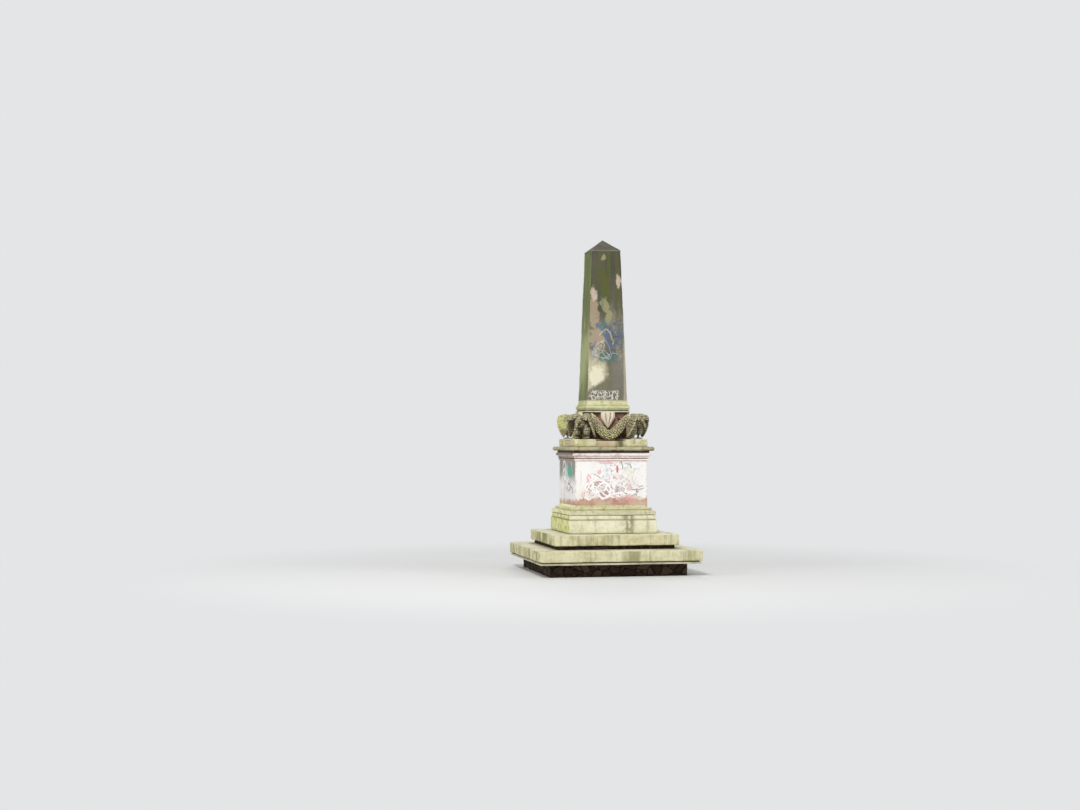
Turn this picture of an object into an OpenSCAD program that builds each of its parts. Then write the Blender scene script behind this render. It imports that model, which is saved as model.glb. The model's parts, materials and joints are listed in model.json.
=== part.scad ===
// A square stone obelisk on a stepped base. An eagle stands on each corner of its pedestal,
// and a laurel garland hangs between each pair of eagles, in front of a square core.
// The origin is the centre of the base at ground level, and the front looks towards -Y.

/* [Foundation] */
// Height of the foundation above the ground
foundation_h = 215; // [100:5:400]
// How far the foundation lies behind the levelling course
foundation_setback = 190; // [100:5:300]
// Thickness of the levelling course on the foundation
levelling_h = 30; // [20:1:60]
// How far the levelling course lies behind the step above it
levelling_setback = 20; // [5:1:60]

/* [Steps] */
// Height of the mortar joint under the lower step
step_joint_h = 15; // [5:1:25]
// How far the mortar of a joint lies behind the stone above it
joint_setback = 25; // [10:1:50]
// Height of the lower step
lower_step_h = 188; // [150:1:220]
// Depth of the lower step's slabs, from the face inwards
lower_slab_d = 560; // [450:10:700]
// How much further out the lower step reaches than the upper one
lower_tread = 320; // [250:5:400]
// Height of the bedding course between the steps
bedding_h = 61; // [30:1:90]
// How far the bedding course lies behind the step above it
bedding_setback = 60; // [20:1:120]
// Height of the upper step
upper_step_h = 188; // [150:1:220]
// Depth of the upper step's slabs, from the face inwards
upper_slab_d = 440; // [350:10:600]
// How much further out the upper step reaches than the socle
upper_tread = 310; // [250:5:400]
// Radius of the worn arris along the top of each step
arris_r = 14; // [4:1:30]

/* [Socle] */
// Height of the fine joint under the socle
socle_joint_h = 6; // [2:1:12]
// Height of the socle's lower course
socle_base_h = 226; // [150:1:300]
// How far the lower course stands proud of the upper one
socle_ledge = 18; // [6:1:40]
// Height of the socle's upper course
socle_top_h = 77; // [50:1:120]
// How far the upper course stands proud of the die
socle_out = 115; // [100:1:160]

/* [Base moulding] */
// Height of the joint under the base moulding
base_joint_h = 7; // [2:1:14]
// Height of the plain fascia
base_fascia_h = 55; // [30:1:80]
// How far the fascia stands out over the socle
base_over = 5; // [0:1:20]
// Height of the ogee above the fascia
base_ogee_h = 32; // [20:1:50]
// Height of the round bead above the ogee
base_bead_h = 31; // [16:1:40]
// How far the bead stands proud of the die
base_bead_out = 64; // [45:1:80]
// How far the cove under the die spreads
base_cove_out = 36; // [15:1:50]
// Height of the cove under the die
base_cove_h = 47; // [20:1:70]

/* [Pedestal die] */
// Side of the die
die_w = 1274; // [1150:2:1350]
// Height of the die
die_h = 766; // [600:2:900]

/* [Bed moulding] */
// Height of the fascia above the die
bed_fascia_h = 25; // [12:1:40]
// How far that fascia stands proud of the die
bed_fascia_out = 18; // [10:1:30]
// Height of the groove above the fascia
bed_groove_h = 8; // [4:1:14]
// How deep the groove is cut behind the fascia
bed_groove_d = 10; // [4:1:16]
// Height of the cove under the roll
bed_cove_h = 38; // [20:1:60]
// How far the top of that cove stands proud of the die
bed_cove_out = 30; // [20:1:40]
// Height of the large roll
bed_roll_h = 60; // [40:1:80]
// How far the roll stands proud of the die
bed_roll_out = 56; // [45:1:80]
// Height of the recess between the roll and the cornice
bed_recess_h = 32; // [15:1:50]
// How far the wall of that recess stands proud of the die
bed_recess_out = 34; // [20:1:60]

/* [Cornice] */
// Height of the fillet under the cornice
cornice_fillet_h = 18; // [8:1:30]
// How far that fillet stands proud of the die
cornice_fillet_out = 94; // [70:1:104]
// Height of the cornice's upright face
cornice_face_h = 27; // [15:1:40]
// How far the face stands proud of the die
cornice_face_out = 108; // [90:1:140]
// Height of the sloping top
cornice_slope_h = 26; // [12:1:40]
// How far the top of the slope stands proud of the die
cornice_top_out = 80; // [60:1:88]

/* [Eagle block] */
// How far the block that carries the eagles stands proud of the die
block_out = 8; // [0:1:40]
// Height of the block at its corners
block_h = 132; // [100:1:180]
// Width of the hollow in the middle of each side
hollow_w = 530; // [400:2:600]
// Depth of the hollow, and radius of the coves at its ends
hollow_d = 45; // [20:1:80]
// How much lower the block is in front of the core
hollow_drop = 30; // [10:1:50]

/* [Core] */
// Depth of the ledge in front of the core
ledge_d = 260; // [240:2:300]
// Height of the core
core_h = 465; // [430:1:520]
// Height of the cap on the core
cap_h = 23; // [12:1:40]
// How far the cap stands proud of the core
cap_out = 15; // [6:1:30]
// Height of the joint between the cap and the shaft base
cap_joint_h = 17; // [6:1:30]
// Width of a pendant at its top
pendant_w = 250; // [180:2:300]
// How far a pendant hangs down the core
pendant_drop = 280; // [200:2:290]
// Thickness of a pendant along its ridge
pendant_t = 46; // [25:1:60]

/* [Eagles] */
// Height of an eagle, from the block to the top of its wings
eagle_h = 455; // [400:1:500]
// Distance between the tips of its wings
wing_span = 530; // [460:2:560]
// How far the beak reaches out beyond the feet
eagle_reach = 235; // [190:1:260]
// Distance of the feet from the corner of the block
perch_inset = 257; // [230:1:270]
// Distance between the two feet
stance = 214; // [180:1:240]
// Length of a toe with its claw
toe_l = 96; // [70:1:110]
// Thickness of a toe
toe_t = 26; // [18:1:32]
// Half the thickness of a wing's feathers
feather_t = 16; // [10:1:24]

/* [Garlands] */
// How far a garland's end lies below the top of the wings
garland_hold = 70; // [60:1:100]
// How far the end lies inside the middle of the eagle's feet
garland_inset = 118; // [100:1:140]
// Radius in the middle
garland_r = 80; // [60:1:95]
// Radius at the ends
garland_end_r = 56; // [40:1:70]
// Gap between the garland and the hollow below it
garland_gap = 22; // [8:1:40]
// How far the end lies in front of the middle of the eagle's feet
garland_out = 112; // [100:1:124]

/* [Shaft base] */
// How far the shaft base's roll stands proud of the core
roll_out = 12; // [0:1:30]
// Height of the fillet under the roll
roll_fillet_h = 9; // [4:1:16]
// Height of the roll
roll_h = 68; // [50:1:90]
// Height of the fillet above the roll
upper_fillet_h = 10; // [5:1:20]
// How far the upper fillet stands proud of the shaft
upper_fillet_out = 24; // [12:1:28]
// Height of the cove below the shaft
shaft_cove_h = 66; // [30:1:90]

/* [Shaft] */
// Height of the shaft
shaft_h = 2616; // [2000:4:3400]
// How far the foot of the shaft lies behind the roll below it
shaft_setback = 40; // [32:1:60]
// How far each face of the shaft leans in over its height
shaft_batter = 94; // [40:1:140]
// How far the pyramid stands proud of the head of the shaft
pyramid_out = 7; // [0:1:20]
// Height of the upright edge round the foot of the pyramid
pyramid_edge_h = 14; // [6:1:30]
// Height of the pyramid above that edge
pyramid_h = 202; // [120:2:320]
// Side of the worn tip
pyramid_tip_w = 12; // [4:1:40]

/* [Hidden] */

// The angle that turns a piece made for the front towards each side
SIDES = [["front", 0], ["right", 90], ["back", 180], ["left", 270]];
// The angle of the diagonal on which each corner lies
CORNERS = [["front_left", -135], ["front_right", -45], ["back_right", 45], ["back_left", 135]];

// Sides of the square courses, from the die outwards and inwards
socle_top_w = die_w + 2 * socle_out;
socle_base_w = socle_top_w + 2 * socle_ledge;
upper_step_w = socle_base_w + 2 * upper_tread;
bedding_w = upper_step_w - 2 * bedding_setback;
lower_step_w = upper_step_w + 2 * lower_tread;
levelling_w = lower_step_w - 2 * levelling_setback;
foundation_w = levelling_w - 2 * foundation_setback;
block_w = die_w + 2 * block_out;
core_w = block_w - 2 * ledge_d;
cap_w = core_w + 2 * cap_out;
roll_w = core_w + 2 * roll_out;
shaft_foot_w = roll_w - 2 * shaft_setback;
shaft_head_w = shaft_foot_w - 2 * shaft_batter;
pyramid_w = shaft_head_w + 2 * pyramid_out;

// Place of the eagles, and the line of the garlands. Heights are above the block.
perch_r = block_w / sqrt(2) - perch_inset;
perch_x = perch_r / sqrt(2);
garland_x = perch_x - garland_inset;
garland_low = garland_gap + garland_r - hollow_drop;
garland_rise = eagle_h - garland_hold - garland_low;
garland_flare = perch_x + garland_out - core_w / 2 - garland_r;

// Levels, from the ground up
levelling_z = foundation_h;
lower_step_z = levelling_z + levelling_h + step_joint_h;
bedding_z = lower_step_z + lower_step_h;
upper_step_z = bedding_z + bedding_h;
socle_z = upper_step_z + upper_step_h;
socle_top_z = socle_z + socle_joint_h + socle_base_h;
base_z = socle_top_z + socle_top_h;
die_z = base_z + base_joint_h + base_fascia_h + base_ogee_h + base_bead_h + base_cove_h;
bed_z = die_z + die_h;
cornice_z = bed_z + bed_fascia_h + bed_groove_h + bed_cove_h + bed_roll_h + bed_recess_h;
block_z = cornice_z + cornice_fillet_h + cornice_face_h + cornice_slope_h;
perch_z = block_z + block_h;
cap_z = perch_z + core_h;
shaft_base_z = cap_z + cap_h + cap_joint_h;
shaft_z = shaft_base_z + roll_fillet_h + roll_h + upper_fillet_h + shaft_cove_h;
pyramid_z = shaft_z + shaft_h;

// Share of a pendant's height where it begins to narrow, and of its thickness along its edges
pendant_shoulder = 0.35;
pendant_edge = 0.45;

// Straight pieces that a curve is divided into
curve_steps = 6;
// Sides of an eagle's round masses and of its trunk
mass_sides = 8;
trunk_sides = 10;
// Feathers in a wing, and straight pieces along each
wing_feathers = 5;
feather_steps = 5;
// Depth of the room kept clear for a garland's end, as a share of its radius
garland_room_d = 1.6;
// Leaf rows on each half of a garland, and points round each row
leaf_rows = 7;
leaf_points = 10;
// Length beyond every face, for cuts that go right through
through = 50;

sandstone = [0.72, 0.70, 0.55];
mossy_stone = [0.62, 0.62, 0.42];
red_stone = [0.62, 0.42, 0.36];
shaft_stone = [0.50, 0.50, 0.42];
eagle_stone = [0.47, 0.44, 0.34];
dark_stone = [0.30, 0.20, 0.17];

// Outlines

// Points on an arc about [x, z], between two angles
function arc(x, z, r, from, to) =
    [for (i = [0 : curve_steps]) let (a = from + (to - from) * i / curve_steps)
        [x + r * cos(a), z + r * sin(a)]];

// A hollow curve, level at [x0, z0] and upright at [x1, z1]
function cove(x0, z0, x1, z1) =
    [for (i = [0 : curve_steps]) let (a = 90 * i / curve_steps)
        [x0 + (x1 - x0) * sin(a), z0 + (z1 - z0) * (1 - cos(a))]];

// An S curve, upright at both of its ends
function ogee(x0, z0, x1, z1) =
    [for (i = [0 : curve_steps]) let (a = 180 * i / curve_steps)
        [x0 + (x1 - x0) * (1 - cos(a)) / 2, z0 + (z1 - z0) * i / curve_steps]];

// A half-round roll that reaches out to x_out between two levels
function roll(x_out, z0, z1) =
    let (r = (z1 - z0) / 2) arc(x_out - r, z0 + r, r, -90, 90);

function reversed(points) = [for (i = [len(points) - 1 : -1 : 0]) points[i]];

// The outline without points that repeat the one before
function clean(points) =
    [for (i = [0 : len(points) - 1]) if (i == 0 || norm(points[i] - points[i - 1]) > 0.01) points[i]];

// A plain course with a joint below it and a worn arris above
function course(w, h, joint_h, arris) = concat(
    joint_h > 0 ? [[w / 2 - joint_setback, 0], [w / 2 - joint_setback, joint_h]] : [],
    [[w / 2, joint_h]],
    arris > 0 ? arc(w / 2 - arris, joint_h + h - arris, arris, 0, 90) : [[w / 2, joint_h + h]]);

function unit(v) = v / norm(v);

// A closed skin over rings that all have the same number of points
module skin(rings) {
    n = len(rings[0]);
    last = len(rings) - 1;
    walls = [for (i = [0 : last - 1]) for (k = [0 : n - 1])
        let (a = i * n + k, b = i * n + (k + 1) % n)
            each [[a, b, b + n], [a, b + n, a + n]]];
    first_cap = [for (k = [n - 1 : -1 : 0]) k];
    last_cap = [for (k = [0 : n - 1]) last * n + k];
    polyhedron([for (r = rings) each r], concat([first_cap], walls, [last_cap]));
}

// A closed plate between two faces, each a list of rows with the same number of points
module plate(front, back) {
    n = len(front[0]);
    rows = len(front);
    other = n * rows;
    edge = concat(
        [for (k = [0 : n - 1]) k],
        [for (i = [1 : rows - 1]) i * n + n - 1],
        [for (k = [n - 2 : -1 : 0]) (rows - 1) * n + k],
        [for (i = [rows - 2 : -1 : 1]) i * n]);
    front_faces = [for (i = [0 : rows - 2]) for (k = [0 : n - 2]) let (a = i * n + k)
        each [[a, a + 1, a + n + 1], [a, a + n + 1, a + n]]];
    back_faces = [for (f = front_faces) [f[2] + other, f[1] + other, f[0] + other]];
    rim = [for (k = [0 : len(edge) - 1]) let (a = edge[k], b = edge[(k + 1) % len(edge)])
        each [[b, a, a + other], [b, a + other, b + other]]];
    polyhedron([for (r = concat(front, back)) each r], concat(front_faces, back_faces, rim));
}

// A square block whose four faces all follow one outline of [half width, height] points
module block_of(outline) {
    face = clean(outline);
    mirrored = [for (p = reversed(face)) [-p[0], p[1]]];
    reach = 2 * max([for (p = face) p[0]]) + 2 * through;
    intersection() {
        rotate([90, 0, 0])
            linear_extrude(height = reach, center = true)
                polygon(concat(face, mirrored));
        rotate([90, 0, 90])
            linear_extrude(height = reach, center = true)
                polygon(concat(face, mirrored));
    }
}

// A plain square block that stands on z = 0
module square_block(w, h) {
    translate([-w / 2, -w / 2, 0])
        cube([w, w, h]);
}

// Ground courses and steps

module foundation() {
    color(dark_stone)
        square_block(foundation_w, foundation_h);
}

module levelling_course() {
    color(sandstone)
        translate([0, 0, levelling_z])
            union() {
                square_block(levelling_w, levelling_h);
                square_block(levelling_w - 2 * joint_setback, levelling_h + step_joint_h);
            }
}

// One slab of a step. The front and back slabs run from corner to corner, the others between them.
module step_slab(w, h, d, angle) {
    full = angle == 0 || angle == 180;
    long = full ? w + 2 * through : w - 2 * d;
    rotate([0, 0, angle])
        intersection() {
            block_of(course(w, h, 0, arris_r));
            translate([-long / 2, -w / 2 - through, -through])
                cube([long, d + through, h + 2 * through]);
        }
}

module lower_step(angle) {
    color(sandstone)
        translate([0, 0, lower_step_z])
            step_slab(lower_step_w, lower_step_h, lower_slab_d, angle);
}

module lower_step_core() {
    color(dark_stone)
        translate([0, 0, lower_step_z])
            square_block(lower_step_w - 2 * lower_slab_d, lower_step_h);
}

module bedding_course() {
    color(dark_stone)
        translate([0, 0, bedding_z])
            square_block(bedding_w, bedding_h);
}

module upper_step(angle) {
    color(sandstone)
        translate([0, 0, upper_step_z])
            step_slab(upper_step_w, upper_step_h, upper_slab_d, angle);
}

module upper_step_core() {
    color(dark_stone)
        translate([0, 0, upper_step_z])
            square_block(upper_step_w - 2 * upper_slab_d, upper_step_h);
}

// Pedestal

module socle_base_course() {
    color(mossy_stone)
        translate([0, 0, socle_z])
            block_of(course(socle_base_w, socle_base_h, socle_joint_h, 0));
}

module socle_top_course() {
    color(mossy_stone)
        translate([0, 0, socle_top_z])
            block_of(course(socle_top_w, socle_top_h, 0, 0));
}

module base_moulding() {
    half = die_w / 2;
    fascia_x = socle_top_w / 2 + base_over;
    bead_x = half + base_bead_out;
    fascia_top = base_joint_h + base_fascia_h;
    ogee_top = fascia_top + base_ogee_h;
    bead_top = ogee_top + base_bead_h;
    color(sandstone)
        translate([0, 0, base_z])
            block_of(concat(
                [[fascia_x - joint_setback, 0], [fascia_x - joint_setback, base_joint_h]],
                [[fascia_x, base_joint_h]],
                ogee(fascia_x, fascia_top, bead_x - base_bead_h / 2, ogee_top),
                roll(bead_x, ogee_top, bead_top),
                cove(half + base_cove_out, bead_top, half, bead_top + base_cove_h)));
}

module pedestal_die() {
    color(red_stone)
        translate([0, 0, die_z])
            square_block(die_w, die_h);
}

module bed_moulding() {
    half = die_w / 2;
    fascia_x = half + bed_fascia_out;
    groove_x = fascia_x - bed_groove_d;
    recess_x = half + bed_recess_out;
    groove_top = bed_fascia_h + bed_groove_h;
    cove_top = groove_top + bed_cove_h;
    roll_top = cove_top + bed_roll_h;
    color(red_stone)
        translate([0, 0, bed_z])
            block_of(concat(
                [[fascia_x, 0], [fascia_x, bed_fascia_h]],
                [[groove_x, bed_fascia_h], [groove_x, groove_top]],
                reversed(cove(half + bed_cove_out, cove_top, fascia_x, groove_top)),
                roll(half + bed_roll_out, cove_top, roll_top),
                [[recess_x, roll_top], [recess_x, roll_top + bed_recess_h]]));
}

module cornice_slab() {
    half = die_w / 2;
    fillet_x = half + cornice_fillet_out;
    face_x = half + cornice_face_out;
    face_top = cornice_fillet_h + cornice_face_h;
    color(sandstone)
        translate([0, 0, cornice_z])
            block_of([
                [fillet_x, 0], [fillet_x, cornice_fillet_h],
                [face_x, cornice_fillet_h], [face_x, face_top],
                [half + cornice_top_out, face_top + cornice_slope_h]]);
}

// Block, core and pendants

// Half of the outline of the block's front, with a cove where the corner meets the hollow
function hollow_side() = concat(
    [[hollow_w / 2, -block_w / 2 - through], [hollow_w / 2, -block_w / 2]],
    arc(hollow_w / 2 - hollow_d, -block_w / 2, hollow_d, 0, 90));

module hollow_outline() {
    side = clean(hollow_side());
    polygon(concat(side, [for (p = reversed(side)) [-p[0], p[1]]]));
}

module eagle_block() {
    color(sandstone)
        translate([0, 0, block_z])
            difference() {
                square_block(block_w, block_h);
                for (side = SIDES)
                    rotate([0, 0, side[1]]) {
                        translate([0, 0, -through])
                            linear_extrude(height = block_h + 2 * through)
                                hollow_outline();
                        translate([-hollow_w / 2, -block_w / 2 - through, block_h - hollow_drop])
                            cube([hollow_w, through + (block_w - core_w) / 2, 2 * hollow_drop]);
                    }
            }
}

module ornament_core() {
    color(eagle_stone)
        translate([0, 0, perch_z])
            square_block(core_w, core_h);
}

module core_cap() {
    color(sandstone)
        translate([0, 0, cap_z])
            union() {
                square_block(cap_w, cap_h);
                square_block(cap_w - 2 * joint_setback, cap_h + cap_joint_h);
            }
}

// A tongue of stone with a ridge down its middle and its point down
module pendant(angle) {
    shoulder_z = -pendant_drop * pendant_shoulder;
    edge_t = pendant_t * pendant_edge;
    color(sandstone)
        rotate([0, 0, angle])
            translate([0, -core_w / 2, cap_z])
                hull()
                    polyhedron(
                        points = [
                            [-pendant_w / 2, 0, 0], [pendant_w / 2, 0, 0],
                            [-pendant_w / 2, -edge_t, 0], [0, -pendant_t, 0], [pendant_w / 2, -edge_t, 0],
                            [-pendant_w / 2, 0, shoulder_z], [pendant_w / 2, 0, shoulder_z],
                            [-pendant_w / 2, -edge_t, shoulder_z], [0, -pendant_t, shoulder_z],
                            [pendant_w / 2, -edge_t, shoulder_z],
                            [0, 0, -pendant_drop], [0, -edge_t, -pendant_drop]],
                        faces = [[0, 1, 2], [2, 1, 4], [2, 4, 3], [5, 10, 6]]);
}

// Eagles

// A point of an eagle, as shares of its reach, half its span and its height
function on_eagle(at) = [at[0] * eagle_reach, at[1] * wing_span / 2, at[2] * eagle_h];

// A round mass of an eagle, with half sizes as shares of its height
module mass(at, size) {
    translate(on_eagle(at))
        scale(size * eagle_h)
            sphere(r = 1, $fn = mass_sides);
}

// Two masses joined by a skin. Each is a list of its place and its half sizes.
module limb(from, to) {
    hull() {
        mass(from[0], from[1]);
        mass(to[0], to[1]);
    }
}

// The spine from the rump over the back to the root of the neck. Each station has its place along
// the reach and the height, then its half thickness and half width.
SPINE = [
    [-0.24, 0.33, 0.05, 0.10], [-0.17, 0.45, 0.13, 0.18], [0.04, 0.57, 0.18, 0.22],
    [0.24, 0.68, 0.18, 0.21], [0.38, 0.75, 0.12, 0.15]];

function spine_at(i) = [SPINE[i][0] * eagle_reach, 0, SPINE[i][1] * eagle_h];
function spine_course(i) =
    unit(spine_at(min(i + 1, len(SPINE) - 1)) - spine_at(max(i - 1, 0)));

function spine_ring(i) =
    let (along = spine_course(i), up = cross(along, [0, 1, 0]))
        [for (k = [0 : trunk_sides - 1]) let (a = 360 * k / trunk_sides)
            spine_at(i) + eagle_h * (SPINE[i][2] * cos(a) * up + [0, SPINE[i][3] * sin(a), 0])];

// The body in one skin, and the tail that comes down behind the legs
module trunk() {
    skin([for (i = [0 : len(SPINE) - 1]) spine_ring(i)]);
    limb([[-0.2, 0, 0.42], [0.08, 0.13, 0.08]], [[-0.36, 0, 0.04], [0.04, 0.16, 0.04]]);
}

// The neck bends down in front of the breast, and the hooked beak points at the ground
module head() {
    skull = [[0.56, 0, 0.61], [0.10, 0.10, 0.11]];
    nostril = [[0.74, 0, 0.53], [0.045, 0.04, 0.045]];
    limb([[0.36, 0, 0.74], [0.13, 0.14, 0.13]], skull);
    limb(skull, nostril);
    limb(nostril, [[0.80, 0, 0.42], [0.012, 0.012, 0.012]]);
}

// The middle of feather i of a wing, from its root at s = 0 to its tip at s = 1
function feather(i, s) =
    let (share = i / (wing_feathers - 1),
        root = [0.62 - 0.66 * share, 0.68 - 0.14 * share, 0.8],
        tip = [-0.02 - 0.2 * share, 0.95 - 0.25 * share, 0.05 + 0.4 * share * share],
        bow = 4 * s * (1 - s))
        on_eagle(root + (tip - root) * s + bow * [0.15 * (1 - share), 0.06, 0]);

// One face of a wing: a row of points from root to tip for each feather and each gap between two.
// A gap lies lower than the feathers beside it, and ends short of their tips.
function wing_face(side, relief) =
    [for (j = [0 : feather_steps]) let (s = j / feather_steps)
        [for (k = [0 : 2 * wing_feathers - 2])
            k % 2 == 0
                ? feather(k / 2, s) + [0, side * feather_t, 0]
                : (feather((k - 1) / 2, 0.88 * s) + feather((k + 1) / 2, 0.88 * s)) / 2
                    + [0, side * feather_t - relief, 0]]];

// A wing on the left of the eagle: its feathers, and the arm from the back to the wrist
module wing() {
    plate(wing_face(1, 0.6 * feather_t), wing_face(-1, 0));
    shoulder = [[0.3, 0.36, 0.84], [0.14, 0.13, 0.13]];
    wrist = [[0.68, 0.6, 0.81], [0.11, 0.09, 0.13]];
    limb([[-0.28, 0.46, 0.87], [0.1, 0.1, 0.1]], shoulder);
    limb(shoulder, wrist);
    mass([-0.1, 0.67, 0.9], [0.15, 0.13, 0.12]);
}

// A leg on the left: its feathered thigh and shank, three toes in front and one behind
module leg() {
    knee = [0.03, 0.38, 0.22];
    foot = [0, stance / wing_span, 0.05];
    limb([[0.12, 0.28, 0.46], [0.12, 0.11, 0.12]], [knee, [0.085, 0.08, 0.06]]);
    limb([knee, [0.05, 0.05, 0.05]], [foot, [0.036, 0.036, 0.045]]);
    mass(foot, [0.058, 0.054, 0.08]);
    translate([0, stance / 2, 0]) {
        toe(toe_l);
        for (turn = [-38, 38])
            rotate([0, 0, turn])
                toe(0.85 * toe_l);
        rotate([0, 0, 180])
            toe(0.6 * toe_l);
    }
}

// A toe that arches over the block and ends in a claw
module toe(long) {
    hull() {
        translate([0, 0, toe_t * 0.3])
            sphere(r = toe_t / 2, $fn = 6);
        translate([long * 0.6, 0, toe_t * 0.45])
            sphere(r = toe_t / 2, $fn = 6);
        translate([long - toe_t / 6, 0, 0])
            sphere(r = toe_t / 6, $fn = 6);
    }
}

module eagle_form() {
    trunk();
    head();
    for (side = [0, 1])
        mirror([0, side, 0]) {
            wing();
            leg();
        }
}

// The room in front of each side that belongs to the garlands. Eagle and garland meet on its ends.
module garland_room() {
    low = garland_line(1)[2] - garland_room_d * garland_end_r;
    for (side = SIDES)
        rotate([0, 0, side[1]])
            translate([-garland_x, -block_w / 2 - through, low])
                cube([2 * garland_x, block_w / 2 + through, eagle_h]);
}

module eagle(angle) {
    color(eagle_stone)
        translate([0, 0, perch_z])
            difference() {
                rotate([0, 0, angle])
                    translate([perch_r, 0, 0])
                        eagle_form();
                translate([0, 0, -block_h])
                    square_block(block_w + 4 * through, block_h);
                square_block(core_w, core_h + through);
                garland_room();
            }
}

// Garlands

// The curve of a garland, from 0 in the middle to 1 at its ends, where it lies flatter
function drape(t) = (t * t + (1 - cos(180 * t)) / 2) / 2;

// The middle line, radius and direction of the front garland, for t from -1 to 1
function garland_line(t) = [
    t * garland_x,
    -core_w / 2 - garland_r - garland_flare * t * t,
    garland_low + garland_rise * drape(t)];
function garland_radius(t) = garland_r + (garland_end_r - garland_r) * t * t;
function garland_course(t) =
    unit([garland_x, -2 * garland_flare * t, garland_rise * (t + PI / 4 * sin(180 * t))]);

// A ring of points round the middle line. Every second point lies between two leaf tips.
function leaf_ring(t, share, pull) =
    [for (k = [0 : leaf_points - 1])
        let (between = k % 2,
            tt = t + sign(t) * 0.35 * pull * between / leaf_rows,
            r = garland_radius(tt) * (share - 0.12 * pull * between),
            a = 360 * k / leaf_points,
            out = unit(cross([0, 1, 0], garland_course(tt))),
            back = cross(garland_course(tt), out))
        garland_line(tt) + r * (cos(a) * out + sin(a) * back)];

// A ring slid along the garland until it lies flat on the joint with the eagle
function end_ring(t, share) =
    let (along = garland_course(t))
        [for (p = leaf_ring(t, share, 0)) p + along * (t * garland_x - p[0]) / along[0]];

// The leaves point towards the middle, so each row widens that way and then steps in
half_rings = [for (i = [1 : leaf_rows])
    each concat(i > 1 ? [[-1 + (i - 0.1) / leaf_rows, 1, 1]] : [], [[-1 + i / leaf_rows, 0.8, 0]])];
garland_rings = concat(
    [end_ring(-1, 0.8)],
    [for (r = half_rings) leaf_ring(r[0], r[1], r[2])],
    [for (i = [len(half_rings) - 2 : -1 : 0]) leaf_ring(-half_rings[i][0], half_rings[i][1], half_rings[i][2])],
    [end_ring(1, 0.8)]);

module garland(angle) {
    color(mossy_stone)
        rotate([0, 0, angle])
            translate([0, 0, perch_z])
                skin(garland_rings);
}

// Shaft

module shaft_base() {
    half = shaft_foot_w / 2;
    fillet_x = half + upper_fillet_out;
    roll_top = roll_fillet_h + roll_h;
    fillet_top = roll_top + upper_fillet_h;
    color(shaft_stone)
        translate([0, 0, shaft_base_z])
            block_of(concat(
                [[roll_w / 2 - roll_fillet_h / 2, 0], [roll_w / 2 - roll_fillet_h / 2, roll_fillet_h]],
                roll(roll_w / 2, roll_fillet_h, roll_top),
                [[fillet_x, roll_top], [fillet_x, fillet_top]],
                cove(fillet_x, fillet_top, half, fillet_top + shaft_cove_h)));
}

module shaft() {
    color(shaft_stone)
        translate([0, 0, shaft_z])
            block_of([[shaft_foot_w / 2, 0], [shaft_head_w / 2, shaft_h]]);
}

module pyramidion() {
    color(shaft_stone)
        translate([0, 0, pyramid_z])
            block_of([
                [pyramid_w / 2, 0], [pyramid_w / 2, pyramid_edge_h],
                [pyramid_tip_w / 2, pyramid_edge_h + pyramid_h]]);
}

foundation();
levelling_course();
for (side = SIDES) {
    lower_step(side[1]);
    upper_step(side[1]);
    garland(side[1]);
    pendant(side[1]);
}
lower_step_core();
bedding_course();
upper_step_core();
socle_base_course();
socle_top_course();
base_moulding();
pedestal_die();
bed_moulding();
cornice_slab();
eagle_block();
ornament_core();
for (corner = CORNERS)
    eagle(corner[1]);
core_cap();
shaft_base();
shaft();
pyramidion();
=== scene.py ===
import json
import math

import bmesh
import bpy
import numpy as np
from mathutils import Matrix, Vector, noise

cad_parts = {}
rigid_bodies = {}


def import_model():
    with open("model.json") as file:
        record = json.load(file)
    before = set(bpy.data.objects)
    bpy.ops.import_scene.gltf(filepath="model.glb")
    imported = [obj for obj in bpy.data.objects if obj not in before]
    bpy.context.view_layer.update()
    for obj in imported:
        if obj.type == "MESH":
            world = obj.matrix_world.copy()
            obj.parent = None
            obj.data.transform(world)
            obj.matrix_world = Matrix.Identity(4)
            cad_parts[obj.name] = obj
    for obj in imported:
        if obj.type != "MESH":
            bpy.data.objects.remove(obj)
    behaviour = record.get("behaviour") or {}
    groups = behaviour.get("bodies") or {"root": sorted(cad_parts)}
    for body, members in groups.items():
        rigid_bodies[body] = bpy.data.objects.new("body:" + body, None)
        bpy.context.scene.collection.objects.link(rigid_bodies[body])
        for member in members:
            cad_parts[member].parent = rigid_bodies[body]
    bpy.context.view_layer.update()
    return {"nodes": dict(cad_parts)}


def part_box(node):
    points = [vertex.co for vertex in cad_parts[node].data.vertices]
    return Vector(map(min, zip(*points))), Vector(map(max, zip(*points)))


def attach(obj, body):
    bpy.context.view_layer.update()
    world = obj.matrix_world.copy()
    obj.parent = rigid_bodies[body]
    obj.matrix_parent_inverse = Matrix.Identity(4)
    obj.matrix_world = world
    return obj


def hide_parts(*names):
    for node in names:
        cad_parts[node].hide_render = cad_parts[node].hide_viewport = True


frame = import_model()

bpy.ops.object.select_all(action="DESELECT")
bpy.context.scene.view_settings.view_transform = "Standard"


# ---- Foundation: a low wall of dark concrete and rubble, stained brown by the soil.
# It stands back under the slabs, so that only a shadowed band of it shows.

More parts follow.
